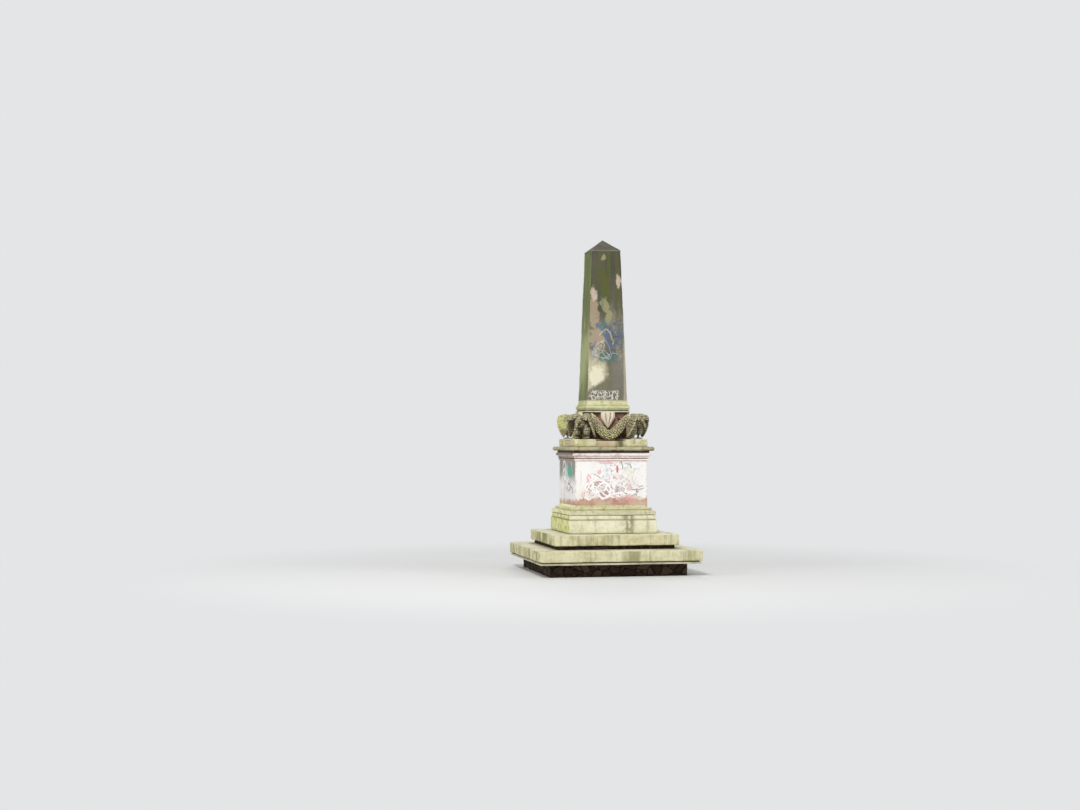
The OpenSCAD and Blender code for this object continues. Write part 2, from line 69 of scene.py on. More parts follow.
class Wire:
    """An output of a material's node. Sums of wires and numbers are written as plain Python."""

    def __init__(self, tree, socket=None):
        self.tree, self.socket = tree, socket

    def node(self, kind, sockets, output=0, **settings):
        """A new node of a kind, with its settings made first and its sockets filled or wired."""
        made = self.tree.nodes.new("ShaderNode" + kind)
        for name, value in settings.items():
            setattr(made, name, value)
        for name, value in sockets.items():
            if isinstance(value, Wire):
                self.tree.links.new(value.socket, made.inputs[name])
            else:
                made.inputs[name].default_value = value
        return Wire(self.tree, made.outputs[output])

    def maths(self, operation, *values):
        """A sum of wires and numbers, by the name that the Math node has for it."""
        return self.node("Math", dict(enumerate(values)), operation=operation)

    def __add__(self, other): return self.maths("ADD", self, other)
    def __radd__(self, other): return self.maths("ADD", other, self)
    def __sub__(self, other): return self.maths("SUBTRACT", self, other)
    def __rsub__(self, other): return self.maths("SUBTRACT", other, self)
    def __mul__(self, other): return self.maths("MULTIPLY", self, other)
    def __rmul__(self, other): return self.maths("MULTIPLY", other, self)
    def __truediv__(self, other): return self.maths("DIVIDE", self, other)
    def __abs__(self): return self.maths("ABSOLUTE", self)
    def at_least(self, other): return self.maths("MAXIMUM", self, other)
    def at_most(self, other): return self.maths("MINIMUM", self, other)

    def far(self, other):
        """How far off a place lies, from how far off it lies in each of two directions."""
        square = self * self + other * other
        return square.maths("SQRT", square)

    def rise(self, low, high):
        """From 0 at low to 1 at high, with soft ends. It falls where low is the larger."""
        return self.node("MapRange", {0: self, 1: low, 2: high}, interpolation_type="SMOOTHSTEP")

    def within(self, low, high, soft):
        """1 between low and high, 0 outside, with soft edges."""
        return self.rise(low - soft, low + soft) * self.rise(high + soft, high - soft)

    def blend(self, first, second):
        """The first colour where this wire is 0, and the second where it is 1."""
        return self.node("Mix", {0: self, 6: first, 7: second}, 2, data_type="RGBA")

    def scaled(self, size, seed, stretch=(1, 1, 1)):
        """A place counted in sizes, and shifted by a seed so that no two patterns agree."""
        return self.node("VectorMath", {
            0: self, 1: tuple(s / size for s in stretch), 2: (seed, 0.7 * seed, 1.3 * seed)},
            operation="MULTIPLY_ADD")

    def patches(self, size, seed, detail=4.0, rough=0.55, stretch=(1, 1, 1), bend=0.0):
        """Noise from 0 to 1 over a place, in patches of about size metres."""
        at = self.scaled(size, seed, stretch)
        return at.node("TexNoise", {
            "Vector": at, "Scale": 1.0, "Detail": detail, "Roughness": rough, "Distortion": bend})

    def cells(self, size, seed):
        """Distance to the nearest of many scattered points, about size metres apart."""
        at = self.scaled(size, seed)
        return at.node("TexVoronoi", {"Vector": at, "Scale": 1.0}, feature="F1")


def tone(red, green, blue, light=1.0):
    """A colour as a paint card gives it, in the linear values that a shader takes. Light is
    the share of its own light that it keeps."""
    return tuple(light * (c / 255 / 12.92 if c < 10 else ((c / 255 + 0.055) / 1.055) ** 2.4)
                 for c in (red, green, blue)) + (1.0,)


class Finish:
    """A material while it is built up in coats, from the stone itself to what grows on it."""

    def __init__(self, name):
        self.material = bpy.data.materials.new(name)
        self.material.use_nodes = True
        tree = self.material.node_tree
        desk = Wire(tree)
        self.shader = tree.nodes["Principled BSDF"]
        self.place = desk.node("TexCoord", {}, "Object")
        self.x, self.y, self.z = (
            desk.node("SeparateXYZ", {0: self.place}, axis) for axis in "XYZ")
        facing = desk.node("NewGeometry", {}, "Normal")
        self.up = desk.node("SeparateXYZ", {0: facing}, "Z")
        self.left = 0 - desk.node("SeparateXYZ", {0: facing}, "X")
        self.front = 0 - desk.node("SeparateXYZ", {0: facing}, "Y")
        self.on_left, self.on_front = self.left.rise(0.5, 0.8), self.front.rise(0.5, 0.8)
        self.hollow = desk.node("Attribute", {}, "Fac", attribute_name="hollow")
        self.colour = self.relief = None

    def coat(self, share, colour, raised=0.0):
        """A coat over part of the surface, in a colour as tone takes it. Raised is how far it
        stands up, as a share of the relief."""
        self.colour = share.blend(self.colour, tone(*colour))
        if raised:
            self.relief = self.relief + share * raised

    def runs(self, size, seed, short):
        """Streaks that run down the stone. The smaller short is, the longer they are."""
        return self.place.patches(size, seed, 4.0, 0.6, (1, 1, short))

    def crust(self, size, seed):
        """Ragged patches, such as lichen, soot and flaking paint make."""
        return self.place.patches(size, seed, 6.0, 0.65)

    def close(self, depth, roughness=0.9, sheen=0.25):
        """Wires the coats to the shader. Depth is that of the relief, in metres."""
        tree = self.material.node_tree
        tree.links.new(self.colour.socket, self.shader.inputs["Base Color"])
        worn = self.relief.rise(0.2, 1.2) * 0.08 + (roughness - 0.04)
        tree.links.new(worn.socket, self.shader.inputs["Roughness"])
        self.shader.inputs["Specular IOR Level"].default_value = sheen
        bump = self.relief.node("Bump", {
            "Strength": 1.0, "Distance": depth, "Height": self.relief})
        tree.links.new(bump.socket, self.shader.inputs["Normal"])
        return self.material


def sandstone(name, body, pale, dark, beds=0.25):
    """Quarried sandstone: blotches of paler and darker stone, faint beds, grains and pits."""
    stone = Finish(name)
    broad = stone.place.patches(0.42, 1.0, 5.0)
    fine = stone.place.patches(0.06, 2.0, 5.0, 0.65)
    grains = stone.place.patches(0.007, 3.0, 2.0)
    layers = stone.runs(0.5, 4.0, 9)
    stone.colour = (broad * 0.6 + fine * 0.4).rise(0.34, 0.66).blend(tone(*dark), tone(*pale))
    stone.coat((fine * 0.5 + layers * 0.5).rise(0.3, 0.62) * (1 - beds), body)
    stone.coat(grains.rise(0.62, 0.8) * 0.3, dark)
    pits = stone.place.cells(0.035, 5.0).rise(0.16, 0.05) * fine.rise(0.5, 0.62)
    stone.coat(pits * 0.55, (*dark, 0.45))
    specks = stone.place.cells(0.012, 6.0).rise(0.22, 0.08) * broad.rise(0.42, 0.58)
    stone.coat(specks * 0.4, (*dark, 0.6))
    stone.relief = grains * 0.3 + fine * 0.6 + layers * 0.35 - pits * 0.6 - specks * 0.3
    return stone


def apply_all(piece):
    """Makes what a piece's modifiers do part of its mesh."""
    bpy.context.view_layer.objects.active = piece
    for modifier in list(piece.modifiers):
        bpy.ops.object.modifier_apply(modifier=modifier.name)


def pick(piece, kind, test):
    """In edit mode, selects the faces, edges or points that pass a test, and no others."""
    mesh = bmesh.from_edit_mesh(piece.data)
    for part in (mesh.faces, mesh.edges, mesh.verts):
        for one in part:
            one.select = False
    for one in getattr(mesh, kind):
        if test(one):
            one.select_set(True)
    mesh.select_flush_mode()
    bmesh.update_edit_mesh(piece.data)


# How far the lines beside an arris lie from it
RIMS = (0.004, 0.011, 0.022, 0.042)


def spread(low, high, wide):
    """Places from low to high: close together at the two ends, and wide apart between them."""
    inner = high - low - 2 * RIMS[-1]
    count = max(1, round(inner / wide))
    return ([low] + [low + r for r in RIMS[:-1]]
            + [low + RIMS[-1] + inner * i / count for i in range(count + 1)]
            + [high - r for r in reversed(RIMS[:-1])] + [high])


def raise_stone(name, across, deep, outline):
    """A stone pulled up from its plan. Across and deep are the places of the plan's lines, and
    outline gives the share of the plan's size at each height. Its level faces keep the lines
    only round their edge."""
    edge = 0.06
    bpy.ops.mesh.primitive_grid_add(
        x_subdivisions=len(across) - 1, y_subdivisions=len(deep) - 1, size=2)
    stone = bpy.context.object
    stone.name = stone.data.name = name
    width, bottom = outline[0]
    for point in stone.data.vertices:
        column = round((point.co.x + 1) / 2 * (len(across) - 1))
        row = round((point.co.y + 1) / 2 * (len(deep) - 1))
        point.co = (across[column] * width, deep[row] * width, bottom)
    bpy.ops.object.mode_set(mode="EDIT")
    bpy.ops.mesh.select_all(action="SELECT")
    for (last, low), (share, high) in zip(outline, outline[1:]):
        bpy.ops.mesh.extrude_region_move(TRANSFORM_OT_translate={"value": (0, 0, high - low)})
        if abs(share - last) > 1e-7:
            bpy.ops.transform.resize(
                value=(share / last, share / last, 1), center_override=(0, 0, 0))
    bpy.ops.mesh.select_all(action="SELECT")
    bpy.ops.mesh.normals_make_consistent(inside=False)
    for level in (bottom, outline[-1][1]):
        rim = [v.co for v in bmesh.from_edit_mesh(stone.data).verts if abs(v.co.z - level) < 1e-4]
        x0, x1 = min(c.x for c in rim) + edge, max(c.x for c in rim) - edge
        y0, y1 = min(c.y for c in rim) + edge, max(c.y for c in rim) - edge
        pick(stone, "faces", lambda face: abs(face.normal.z) > 0.9
             and abs(face.calc_center_median().z - level) < 1e-4
             and all(x0 < v.co.x < x1 and y0 < v.co.y < y1 for v in face.verts))
        bpy.ops.mesh.dissolve_faces()
    bpy.ops.object.mode_set(mode="OBJECT")
    return stone


def outline_of(node):
    """The outline of a square CAD course, as (half width, height) from its bottom to its top."""
    mesh = bmesh.new()
    mesh.from_mesh(frame["nodes"][node].data)
    bmesh.ops.remove_doubles(mesh, verts=mesh.verts, dist=1e-5)
    bmesh.ops.dissolve_limit(
        mesh, angle_limit=math.radians(0.2), verts=mesh.verts, edges=mesh.edges)
    corner = [v for v in mesh.verts if v.co.x > 0 and abs(v.co.x - v.co.y) < 1e-4]
    here = min(corner, key=lambda v: (v.co.z, v.co.x))
    walked = [here]
    while True:
        onward = [e.other_vert(here) for e in here.link_edges
                  if e.other_vert(here) in corner and e.other_vert(here) not in walked]
        onward = onward or [v for v in corner
                            if v not in walked and abs(v.co.z - here.co.z) < 1e-6]
        if not onward:
            break
        here = onward[0]
        walked.append(here)
    found = [(v.co.x, v.co.z) for v in walked]
    mesh.free()
    return found


def rounder(outline):
    """The outline with a new place in each short side of a curve, out on the curve itself."""
    ways = [math.atan2(z1 - z0, x1 - x0) for (x0, z0), (x1, z1) in zip(outline, outline[1:])]
    turns = [math.remainder(b - a, 2 * math.pi) for a, b in zip(ways, ways[1:])]
    made = [outline[0]]
    for i, ((x0, z0), (x1, z1)) in enumerate(zip(outline, outline[1:])):
        slight = [t for t in turns[max(0, i - 1):i + 1] if abs(t) < math.radians(40)]
        if slight and math.hypot(x1 - x0, z1 - z0) < 0.02:
            bulge = sum(slight) / len(slight) / 8
            made.append(((x0 + x1) / 2 + (z1 - z0) * bulge, (z0 + z1) / 2 - (x1 - x0) * bulge))
        made.append((x1, z1))
    return made


def finer(outline, wide):
    """The outline with more places: close to both ends of each long run, and between them."""
    made = [outline[0]]
    for (x0, z0), (x1, z1) in zip(outline, outline[1:]):
        long = math.hypot(x1 - x0, z1 - z0)
        if long > 2.5 * RIMS[-1]:
            steps = spread(0, long, wide)[1:]
        elif long > 0.02:
            steps = [long * i / 4 for i in (1, 2, 3, 4)]
        else:
            steps = [long]
        made += [(x0 + (x1 - x0) * s / long, z0 + (z1 - z0) * s / long) for s in steps]
    return made


def square_stone(name, node, wide=0.03, tall=0.045):
    """A square course pulled up along the CAD outline, with rims on its top and bottom faces.
    Wide and tall are how far apart its lines lie, across and up its sides."""
    outline = rounder(outline_of(node))
    (x0, z0), (x1, z1) = outline[0], outline[-1]
    outline = [(x0 - r, z0) for r in reversed(RIMS)] + finer(outline, tall)
    if x1 > RIMS[-1]:
        outline += [(x1 - r, z1) for r in RIMS]
    half = outline[0][0]
    plan = [p / half for p in spread(-half, half, wide)]
    return raise_stone(name, plan, plan, outline)


def wear(stone, least, most, patch, seed, box=None):
    """Rounds the arrises as weather does, by radii between least and most, the larger in patches.
    With a box all of its arrises are rounded, and without one only the corners."""
    shift = Vector((3.1, 1.7, 2.3)) * (seed + 1)
    for point in stone.data.vertices:
        at = point.co
        rough = noise.fractal(at / patch + shift, 0.8, 2.0, 3)
        nick = noise.fractal(at / 0.03 + shift, 0.8, 2.0, 2)
        r = least + (most - least) * min(1, max(0, 0.25 + 1.1 * rough)) ** 2
        r = max(0.001, r * (1 + 0.3 * nick))
        if box:
            inner = Vector([min(max(at[i], box[0][i] + r), box[1][i] - r) for i in range(3)])
        else:
            half = max(abs(at.x), abs(at.y))
            r = min(r, 0.5 * half)
            inner = Vector([min(max(at[i], r - half), half - r) for i in range(2)] + [at.z])
        out = at - inner
        if out.length > r:
            point.co = inner + out * (r / out.length)


def fret(stone, depth, size, seed, downward=1.0):
    """Eats into the faces as weather does, in soft dips of a size, and in finer pits. Downward
    is the share of it that the level faces get, which is 0 where stones lie close together."""
    stone.data.update()
    shift = Vector((5.3, 2.9, 4.1)) * (seed + 1)
    inward = [v.normal * Vector((1, 1, downward)) for v in stone.data.vertices]
    for point, normal in zip(stone.data.vertices, inward):
        at = point.co / size + shift
        dip = 0.5 + 0.5 * noise.fractal(at, 0.9, 2.0, 4)
        pit = max(0, noise.fractal(at * 5, 0.8, 2.0, 2) - 0.25)
        point.co -= normal * depth * min(1.4, max(0, dip) + 0.7 * pit)


def evened(piece, rounds):
    """The points of a piece as they are, and as they would be with its shape evened out."""
    mesh = piece.data
    count = len(mesh.vertices)
    places = np.empty(3 * count)
    mesh.vertices.foreach_get("co", places)
    places = places.reshape(count, 3)
    ends = np.empty(2 * len(mesh.edges), int)
    mesh.edges.foreach_get("vertices", ends)
    a, b = ends.reshape(-1, 2).T
    links = np.maximum(np.bincount(a, minlength=count) + np.bincount(b, minlength=count), 1)
    soft = places.copy()
    for _ in range(rounds):
        total = np.zeros_like(soft)
        for axis in range(3):
            total[:, axis] = (np.bincount(a, soft[b, axis], count)
                              + np.bincount(b, soft[a, axis], count))
        soft = 0.5 * soft + 0.5 * total / links[:, None]
    return places, soft


def crumble(stone, patch, rounds, seed):
    """Breaks the arrises away in patches, where frost has been at them. More rounds of evening
    out break more away."""
    places, soft = evened(stone, rounds)
    shift = Vector((1.9, 6.1, 3.7)) * (seed + 1)
    share = np.array([noise.fractal(Vector(p) / patch + shift, 0.8, 2.0, 4) for p in places])
    share = np.clip((share - 0.06) / 0.22, 0, 1)
    places += (soft - places) * share[:, None]
    stone.data.vertices.foreach_set("co", places.ravel())
    stone.data.update()


def note_hollows(piece, rounds, full):
    """Stores at each point how deep it lies in a hollow: 0 on a ridge, 0.5 level, 1 in a groove.
    Full is the depth in metres that counts as a whole groove."""
    places, soft = evened(piece, rounds)
    normals = np.array([v.normal for v in piece.data.vertices])
    depth = ((soft - places) * normals).sum(1) / full
    stored = piece.data.attributes.new("hollow", "FLOAT", "POINT")
    stored.data.foreach_set("value", np.clip(0.5 + 0.5 * depth, 0, 1).astype(np.float32))


def set_piece(piece, material, node, rounds=6, full=0.005):
    """Gives a finished stone its material, and puts it in the place of its CAD node."""
    piece.data.materials.clear()
    piece.data.materials.append(material)
    bpy.ops.object.select_all(action="DESELECT")
    piece.select_set(True)
    bpy.context.view_layer.objects.active = piece
    bpy.ops.object.shade_smooth_by_angle(angle=math.radians(38))
    note_hollows(piece, rounds, full)
    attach(piece, "root")
    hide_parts(node)
    piece.select_set(False)


def set_course(name, node, finish, slot, seed, worn, dips, broken=None, stones=None,
               boxed=False, **lines):
    """Makes a square course and sets it in its node's place. Worn, dips, broken and stones are
    what wear, fret, crumble and lay_rubble take, and lines is what square_stone takes."""
    course = square_stone(name, node, **lines)
    if worn:
        wear(course, *worn, seed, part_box(node) if boxed else None)
    if stones:
        lay_rubble(course, *stones, seed)
    fret(course, *dips, seed, 0)
    if broken:
        crumble(course, *broken, seed)
    set_piece(course, finish, node)


def lay_rubble(wall, size, depth, seed):
    """Parts the faces of a wall into rough stones with raked joints. A shade of its own is
    stored for each stone."""
    wall.data.update()
    shift = Vector((2.7, 8.3, 5.9)) * seed
    inward = [v.normal * Vector((1, 1, 0)) for v in wall.data.vertices]
    shades = []
    for point, normal in zip(wall.data.vertices, inward):
        at = Vector((point.co.x, point.co.y, 1.5 * point.co.z)) / size + shift
        away, middles = noise.voronoi(at)
        joint = 1 - min(1, (away[1] - away[0]) / 0.3)
        shade = 0.5 + 0.5 * noise.cell(middles[0] * 7.3)
        shades.append(shade)
        point.co -= normal * depth * (0.75 * joint ** 1.5 + 0.25 * shade)
    stored = wall.data.attributes.new("shade", "FLOAT", "POINT")
    stored.data.foreach_set("value", shades)


rubble = sandstone("foundation rubble", (62, 47, 36), (82, 64, 50), (40, 30, 24))
shade = rubble.place.node("Attribute", {}, "Fac", attribute_name="shade")
rubble.coat(shade.rise(0.55, 0.9) * 0.6, (92, 76, 60))
rubble.coat(shade.rise(0.4, 0.1) * 0.6, (44, 30, 24))
soil = rubble.place.patches(0.2, 8.0) * 0.1 + rubble.z
rubble.coat(soil.rise(0.14, 0.06) * 0.6, (48, 38, 26))
rubble.coat(rubble.hollow.rise(0.52, 0.8) * 0.9, (20, 16, 12))
rubble_finish = rubble.close(0.012, 0.95)

set_course("foundation_wall", "foundation", rubble_finish, "dark_stone", 1,
           (0.006, 0.030, 0.2), (0.006, 0.06), stones=(0.17, 0.022), boxed=True,
           wide=0.02, tall=0.02)


# ---- Levelling course: a thin pale course of stone in mortar, on which the steps were levelled.
# The dark line along its top, under the slabs' deep joint, is painted shade.

lime = sandstone("levelling stone", (205, 198, 170), (222, 216, 194), (166, 158, 128))
lime.coat(lime.place.patches(0.25, 7.0, 5.0, 0.6, (1, 1, 0.3)).rise(0.5, 0.68) * 0.5,
          (120, 112, 84))
# painted shade: a dark line along the top of the course, under the slabs
lime.coat(lime.z.rise(0.245, 0.249) * 0.9, (74, 62, 44))
lime_finish = lime.close(0.004)

set_course("levelling_slabs", "levelling_course", lime_finish, "step_stone", 2,
           (0.003, 0.02, 0.12), (0.006, 0.08), (0.2, 8), wide=0.04)


# ---- Steps: two steps of long sandstone slabs, butted at the corners round a core of rubble.
# Their arrises are trodden and frosted round, and rain has drawn dark streaks down their faces.

def step_finish(name, bottom, top, reach, slab, seed):
    """The steps' sandstone. Reach is half the step's width, and slab the depth of its slabs."""
    stone = sandstone(name, (220, 213, 174), (236, 231, 199), (190, 182, 141))
    streaks = stone.runs(0.075, seed, 0.12)
    stains = stone.place.patches(0.55, seed + 3, 5.0, 0.6, (1, 1, 0.5))
    side = stone.up.rise(0.6, 0.3)
    leftward = stone.on_left
    stone.coat(stains.rise(0.52, 0.68) * 0.6 * side, (152, 149, 106))
    stone.coat((streaks * 0.55 + stains * 0.45).rise(0.49, 0.60) * side
               * (0.4 + leftward * 0.4), (116, 115, 76))
    stone.coat(stone.place.patches(0.13, seed + 5, 5.0).rise(0.52, 0.66)
               * (leftward * 0.5 + side * 0.3), (166, 168, 100))
    ragged = stone.place.patches(0.05, seed + 7) * 0.05
    stone.coat((stone.z + ragged).rise(bottom + 0.055, bottom + 0.01) * side * 0.6, (116, 110, 74))
    stone.coat((stone.z - ragged).rise(top - 0.04, top - 0.005) * side * 0.4, (228, 223, 192))
    tread = stone.up.rise(0.6, 0.9)
    stone.coat(tread * 0.7, (226, 222, 197))
    dirt = stone.crust(0.3, seed + 9)
    stone.coat(tread * dirt.rise(0.48, 0.66) * 0.6, (158, 150, 118))
    inward = abs(stone.x).at_least(abs(stone.y))
    stone.coat(tread * inward.rise(reach - 0.2, reach - 0.34) * 0.55, (142, 134, 102))
    joint = abs(abs(stone.y) - (reach - slab)).rise(0.004, 0.0015)
    stone.coat(joint * 0.7, (84, 78, 56))
    stone.coat(stone.hollow.rise(0.42, 0.2) * 0.3, (226, 221, 190))
    stone.relief = stone.relief - joint * 1.5
    return stone.close(0.005)


def lay_step(course, seed, stain_seed):
    """The four slabs of a step, each pulled up from its own plan and worn as one step, with the
    core of rubble between them."""
    (x0, y0, z0), (x1, y1, z1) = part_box(course + "_step_front")
    finish = step_finish(course + " step stone", z0, z1, x1, y1 - y0, stain_seed)
    for side in ("front", "right", "back", "left"):
        node = course + "_step_" + side
        at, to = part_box(node)
        levels = ([at.z] + [at.z + r for r in RIMS] + [at.z + (to.z - at.z) / 2]
                  + [to.z - r for r in reversed(RIMS)] + [to.z])
        slab = raise_stone(course + "_slabs_" + side, spread(at.x, to.x, 0.028),
                           spread(at.y, to.y, 0.028), [(1, z) for z in levels])
        wear(slab, 0.010, 0.036, 0.22, seed, (Vector((x0, x0, z0)), Vector((x1, x1, z1))))
        fret(slab, 0.005, 0.2, seed)
        crumble(slab, 0.16, 8, seed)
        set_piece(slab, finish, node)
    slots = frame["nodes"][course + "_step_core"].data.materials
    slots.clear()
    slots.append(rubble_finish)


lay_step("lower", 3, 11.0)


# ---- Bedding course: dark rubble in mortar between the two steps, set back in their shadow.
# The upper step's slabs are bedded on it, and are laid here in the same way as the lower ones.

set_course("bedding_rubble", "bedding_course", rubble_finish, "dark_stone", 4,
           (0.003, 0.016, 0.1), (0.004, 0.04), stones=(0.07, 0.012), boxed=True, wide=0.02)

lay_step("upper", 5, 17.0)


# ---- Socle: two plain courses of sandstone, the lower one standing a little proud.
# Moss has turned the left side yellow-green, and rain runs down the right of the front.

# The thickness of the joint under the socle, and the height where its two courses meet
JOINT, LEDGE = 0.006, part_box("socle_top_course")[0].z


def socle_finish(name, bottom):
    """The socle's sandstone. Bottom is where the stone of the course starts."""
    stone = sandstone(name, (233, 229, 200), (244, 241, 218), (206, 201, 163))
    side = stone.up.rise(0.6, 0.3)
    leftward = stone.on_left
    backward = stone.front.rise(-0.5, -0.8)
    moss = stone.place.patches(0.11, 21.0, 6.0, 0.62)
    veil = stone.place.patches(0.4, 22.0, 5.0, 0.6)
    stone.coat(leftward * (moss * 0.5 + veil * 0.5).rise(0.34, 0.54) * 0.85, (224, 227, 142))
    stone.coat(leftward * moss.rise(0.5, 0.62) * 0.75, (164, 174, 74), 0.5)
    stone.coat((1 - leftward) * moss.rise(0.52, 0.68) * (0.3 + backward * 0.4),
               (190, 193, 132), 0.3)
    streak = stone.runs(0.09, 23.0, 0.14)
    stone.coat(streak.rise(0.55, 0.7) * side * 0.4, (138, 136, 98))
    run = stone.x.within(0.16, 0.36, 0.07) * stone.on_front
    stone.coat(run * (streak * 0.5 + moss * 0.5).rise(0.4, 0.52) * 0.75, (122, 121, 84))
    chalk = abs(stone.place.patches(0.1, 25.0, 1.0) - 0.5).rise(0.028, 0.012)
    marks = chalk * stone.x.within(-0.5, -0.02, 0.06) * stone.on_front
    stone.coat(marks * stone.z.within(0.83, 0.93, 0.02) * 0.5, (236, 234, 222))
    ragged = stone.place.patches(0.06, 24.0) * 0.06
    stone.coat((stone.z + ragged).rise(bottom + 0.07, bottom + 0.02) * side * 0.5, (150, 150, 88))
    stone.coat(stone.up.rise(0.6, 0.9) * 0.7, (174, 176, 112))
    stone.coat(abs(stone.z - LEDGE).rise(0.02, 0.004) * 0.45, (128, 124, 84))
    return stone.close(0.0045)


set_course("socle_lower_course", "socle_base_course",
           socle_finish("socle lower stone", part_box("socle_base_course")[0].z + JOINT),
           "socle_stone", 6, (0.004, 0.024, 0.15), (0.005, 0.2), (0.15, 8))
set_course("socle_upper_course", "socle_top_course", socle_finish("socle upper stone", LEDGE),
           "socle_stone", 7, (0.003, 0.016, 0.12), (0.004, 0.2), (0.15, 8))


# ---- Base moulding: one block run with a fascia, an S curve, a bead and a hollow up to the die.
# Rain lies on it, so it is green above, and its right end has lost its skin down to red stone.

plinth = sandstone("base moulding stone", (210, 205, 170), (226, 222, 192), (180, 174, 134))
growth = plinth.place.patches(0.12, 31.0, 6.0, 0.62)
# painted shade in the hollows of the profile
plinth.coat(plinth.hollow.rise(0.52, 0.75) * 0.6, (96, 90, 60))
plinth.coat(plinth.up.rise(0.1, 0.8) * growth.rise(0.42, 0.6) * 0.75, (178, 180, 108), 0.4)
plinth.coat(plinth.left.rise(0.3, 0.7) * growth.rise(0.36, 0.54) * 0.8, (242, 242, 192))
drips = plinth.runs(0.07, 32.0, 0.2)
plinth.coat(drips.rise(0.54, 0.68) * 0.45, (130, 124, 86))
# painted shade: a dark band along the foot of the moulding
plinth.coat(plinth.z.rise(1.02, 1.012) * 0.7, (84, 76, 52))
bare = (plinth.x + growth * 0.16).rise(0.72, 0.79) * plinth.z.rise(1.085, 1.1)
plinth.coat(bare * plinth.front.rise(-0.6, 0.1) * 0.85, (176, 112, 84))
plinth_finish = plinth.close(0.0045)

set_course("base_mouldings", "base_moulding", plinth_finish, "socle_stone", 8,
           (0.003, 0.022, 0.14), (0.006, 0.11), (0.13, 6))


# ---- Die: one block of red sandstone, painted over again and again in white and silver.
# Spray lines and loops cross the paint, which has gone from the foot of the stone.

red = sandstone("painted die", (196, 152, 132), (212, 176, 154), (158, 112, 94))
across = red.on_front * red.x + red.front.rise(-0.5, -0.8) * (0 - red.x) \
    + red.on_left * red.y * -1 + red.left.rise(-0.5, -0.8) * red.y
faces_front = red.on_front
faces_left = red.on_left
elsewhere = 1 - faces_front - faces_left


class Spray:
    """Marks of a spray can on one face, by their places across it and up it, in metres."""

    def __init__(self, stone, across, wander):
        self.place = stone.place
        self.s = across + (stone.place.patches(0.16, 41.0, 2.0) - 0.5) * wander
        self.h = stone.z + (stone.place.patches(0.16, 42.0, 2.0) - 0.5) * wander

    def stroke(self, x0, z0, x1, z1, width, bow=0.0):
        """A stroke from one place to another, bowed to one side."""
        dx, dz = x1 - x0, z1 - z0
        long = dx * dx + dz * dz
        t = (((self.s - x0) * dx + (self.h - z0) * dz) / long).at_least(0).at_most(1)
        arch = t * (1 - t) * (4 * bow / math.sqrt(long))
        away_x = self.s - x0 - t * dx + arch * dz
        away_z = self.h - z0 - t * dz - arch * dx
        return away_x.far(away_z).rise(width, 0.55 * width)

    def ring(self, x0, z0, radius_x, radius_z, width, lean=0.0):
        """A loop about a place, leaning to the right by a share of its height."""
        away_z = (self.h - z0) / radius_z
        away_x = (self.s - x0 - (self.h - z0) * lean) / radius_x
        thin = 2 * width / (radius_x + radius_z)
        return abs(away_x.far(away_z) - 1).rise(thin, 0.5 * thin)

    def loops(self, size, seed, width, squat=1.0):
        """Smooth looping lines, as from a hand that never lifts the can. Where squat is less
        than 1 they run up and down more than across."""
        return abs(self.place.patches(size, seed, 0.0, 0.4, (1, 1, squat), 0.4) - 0.5).rise(
            width, 0.55 * width)

    def patch(self, x0, z0, half_x, half_z, lean=0.0):
        """A filled patch about a place, with an edge as ragged as flaking paint."""
        away_z = (self.h - z0) / half_z
        away_x = (self.s - x0 - (self.h - z0) * lean) / half_x
        flaked = (self.place.patches(0.09, 46.0, 7.0, 0.68) - 0.5) * 2.4
        return (away_x.far(away_z) + flaked).rise(1.2, 0.8)

    def marks(self, patches=(), strokes=(), rings=()):
        """Several marks of one colour as one mark, each by what its own kind takes."""
        made = ([self.patch(*p) for p in patches] + [self.stroke(*s) for s in strokes]
                + [self.ring(*r) for r in rings])
        whole = made[0]
        for mark in made[1:]:
            whole = whole.at_least(mark)
        return whole


can = Spray(red, across, 0.05)
grime = red.place.patches(0.3, 43.0, 6.0, 0.6)
speck = red.place.patches(0.045, 44.0, 5.0, 0.65)
runs = red.place.patches(0.035, 45.0, 3.0, 0.6, (1, 1, 0.08))
foot = (red.z + (grime - 0.5) * 0.2 + (speck - 0.5) * 0.22).rise(1.275, 1.325)
foot_left = (red.z + (grime - 0.5) * 0.12 + (runs - 0.5) * 0.25).rise(1.22, 1.28)
cover = faces_left * foot_left + (1 - faces_left) * foot
middle = across.within(-0.36, 0.38, 0.16) * red.z.within(1.2, 1.66, 0.1)
thin = middle * (grime * 0.5 + speck * 0.5).rise(0.48, 0.56)
paint = cover * (1 - thin * 0.7 * (faces_front + elsewhere * 0.6))
worn_edge = abs(red.x).at_most(abs(red.y)).rise(0.6, 0.63) * speck.rise(0.44, 0.58)
paint = paint * (1 - worn_edge * 0.5) * (1 - speck.rise(0.68, 0.74) * 0.8)
red.coat(red.z.rise(1.3, 1.2) * grime.rise(0.4, 0.6) * 0.7, (208, 192, 164))
red.coat(paint, (243, 240, 237), 0.25)
red.coat(paint * grime.rise(0.5, 0.7) * 0.4, (224, 214, 210))
# painted shade: the upper part of the left face is darker
red.coat(paint * faces_left * red.z.rise(1.5, 1.75) * 0.9, (126, 122, 108))
red.coat(paint * faces_left * runs.rise(0.52, 0.6) * 0.75, (240, 240, 240))
red.coat(paint * faces_left * runs.rise(0.42, 0.36) * 0.6, (110, 112, 120))
red.coat(paint * red.z.rise(1.88, 1.94) * speck.rise(0.4, 0.6) * 0.5, (222, 178, 176))
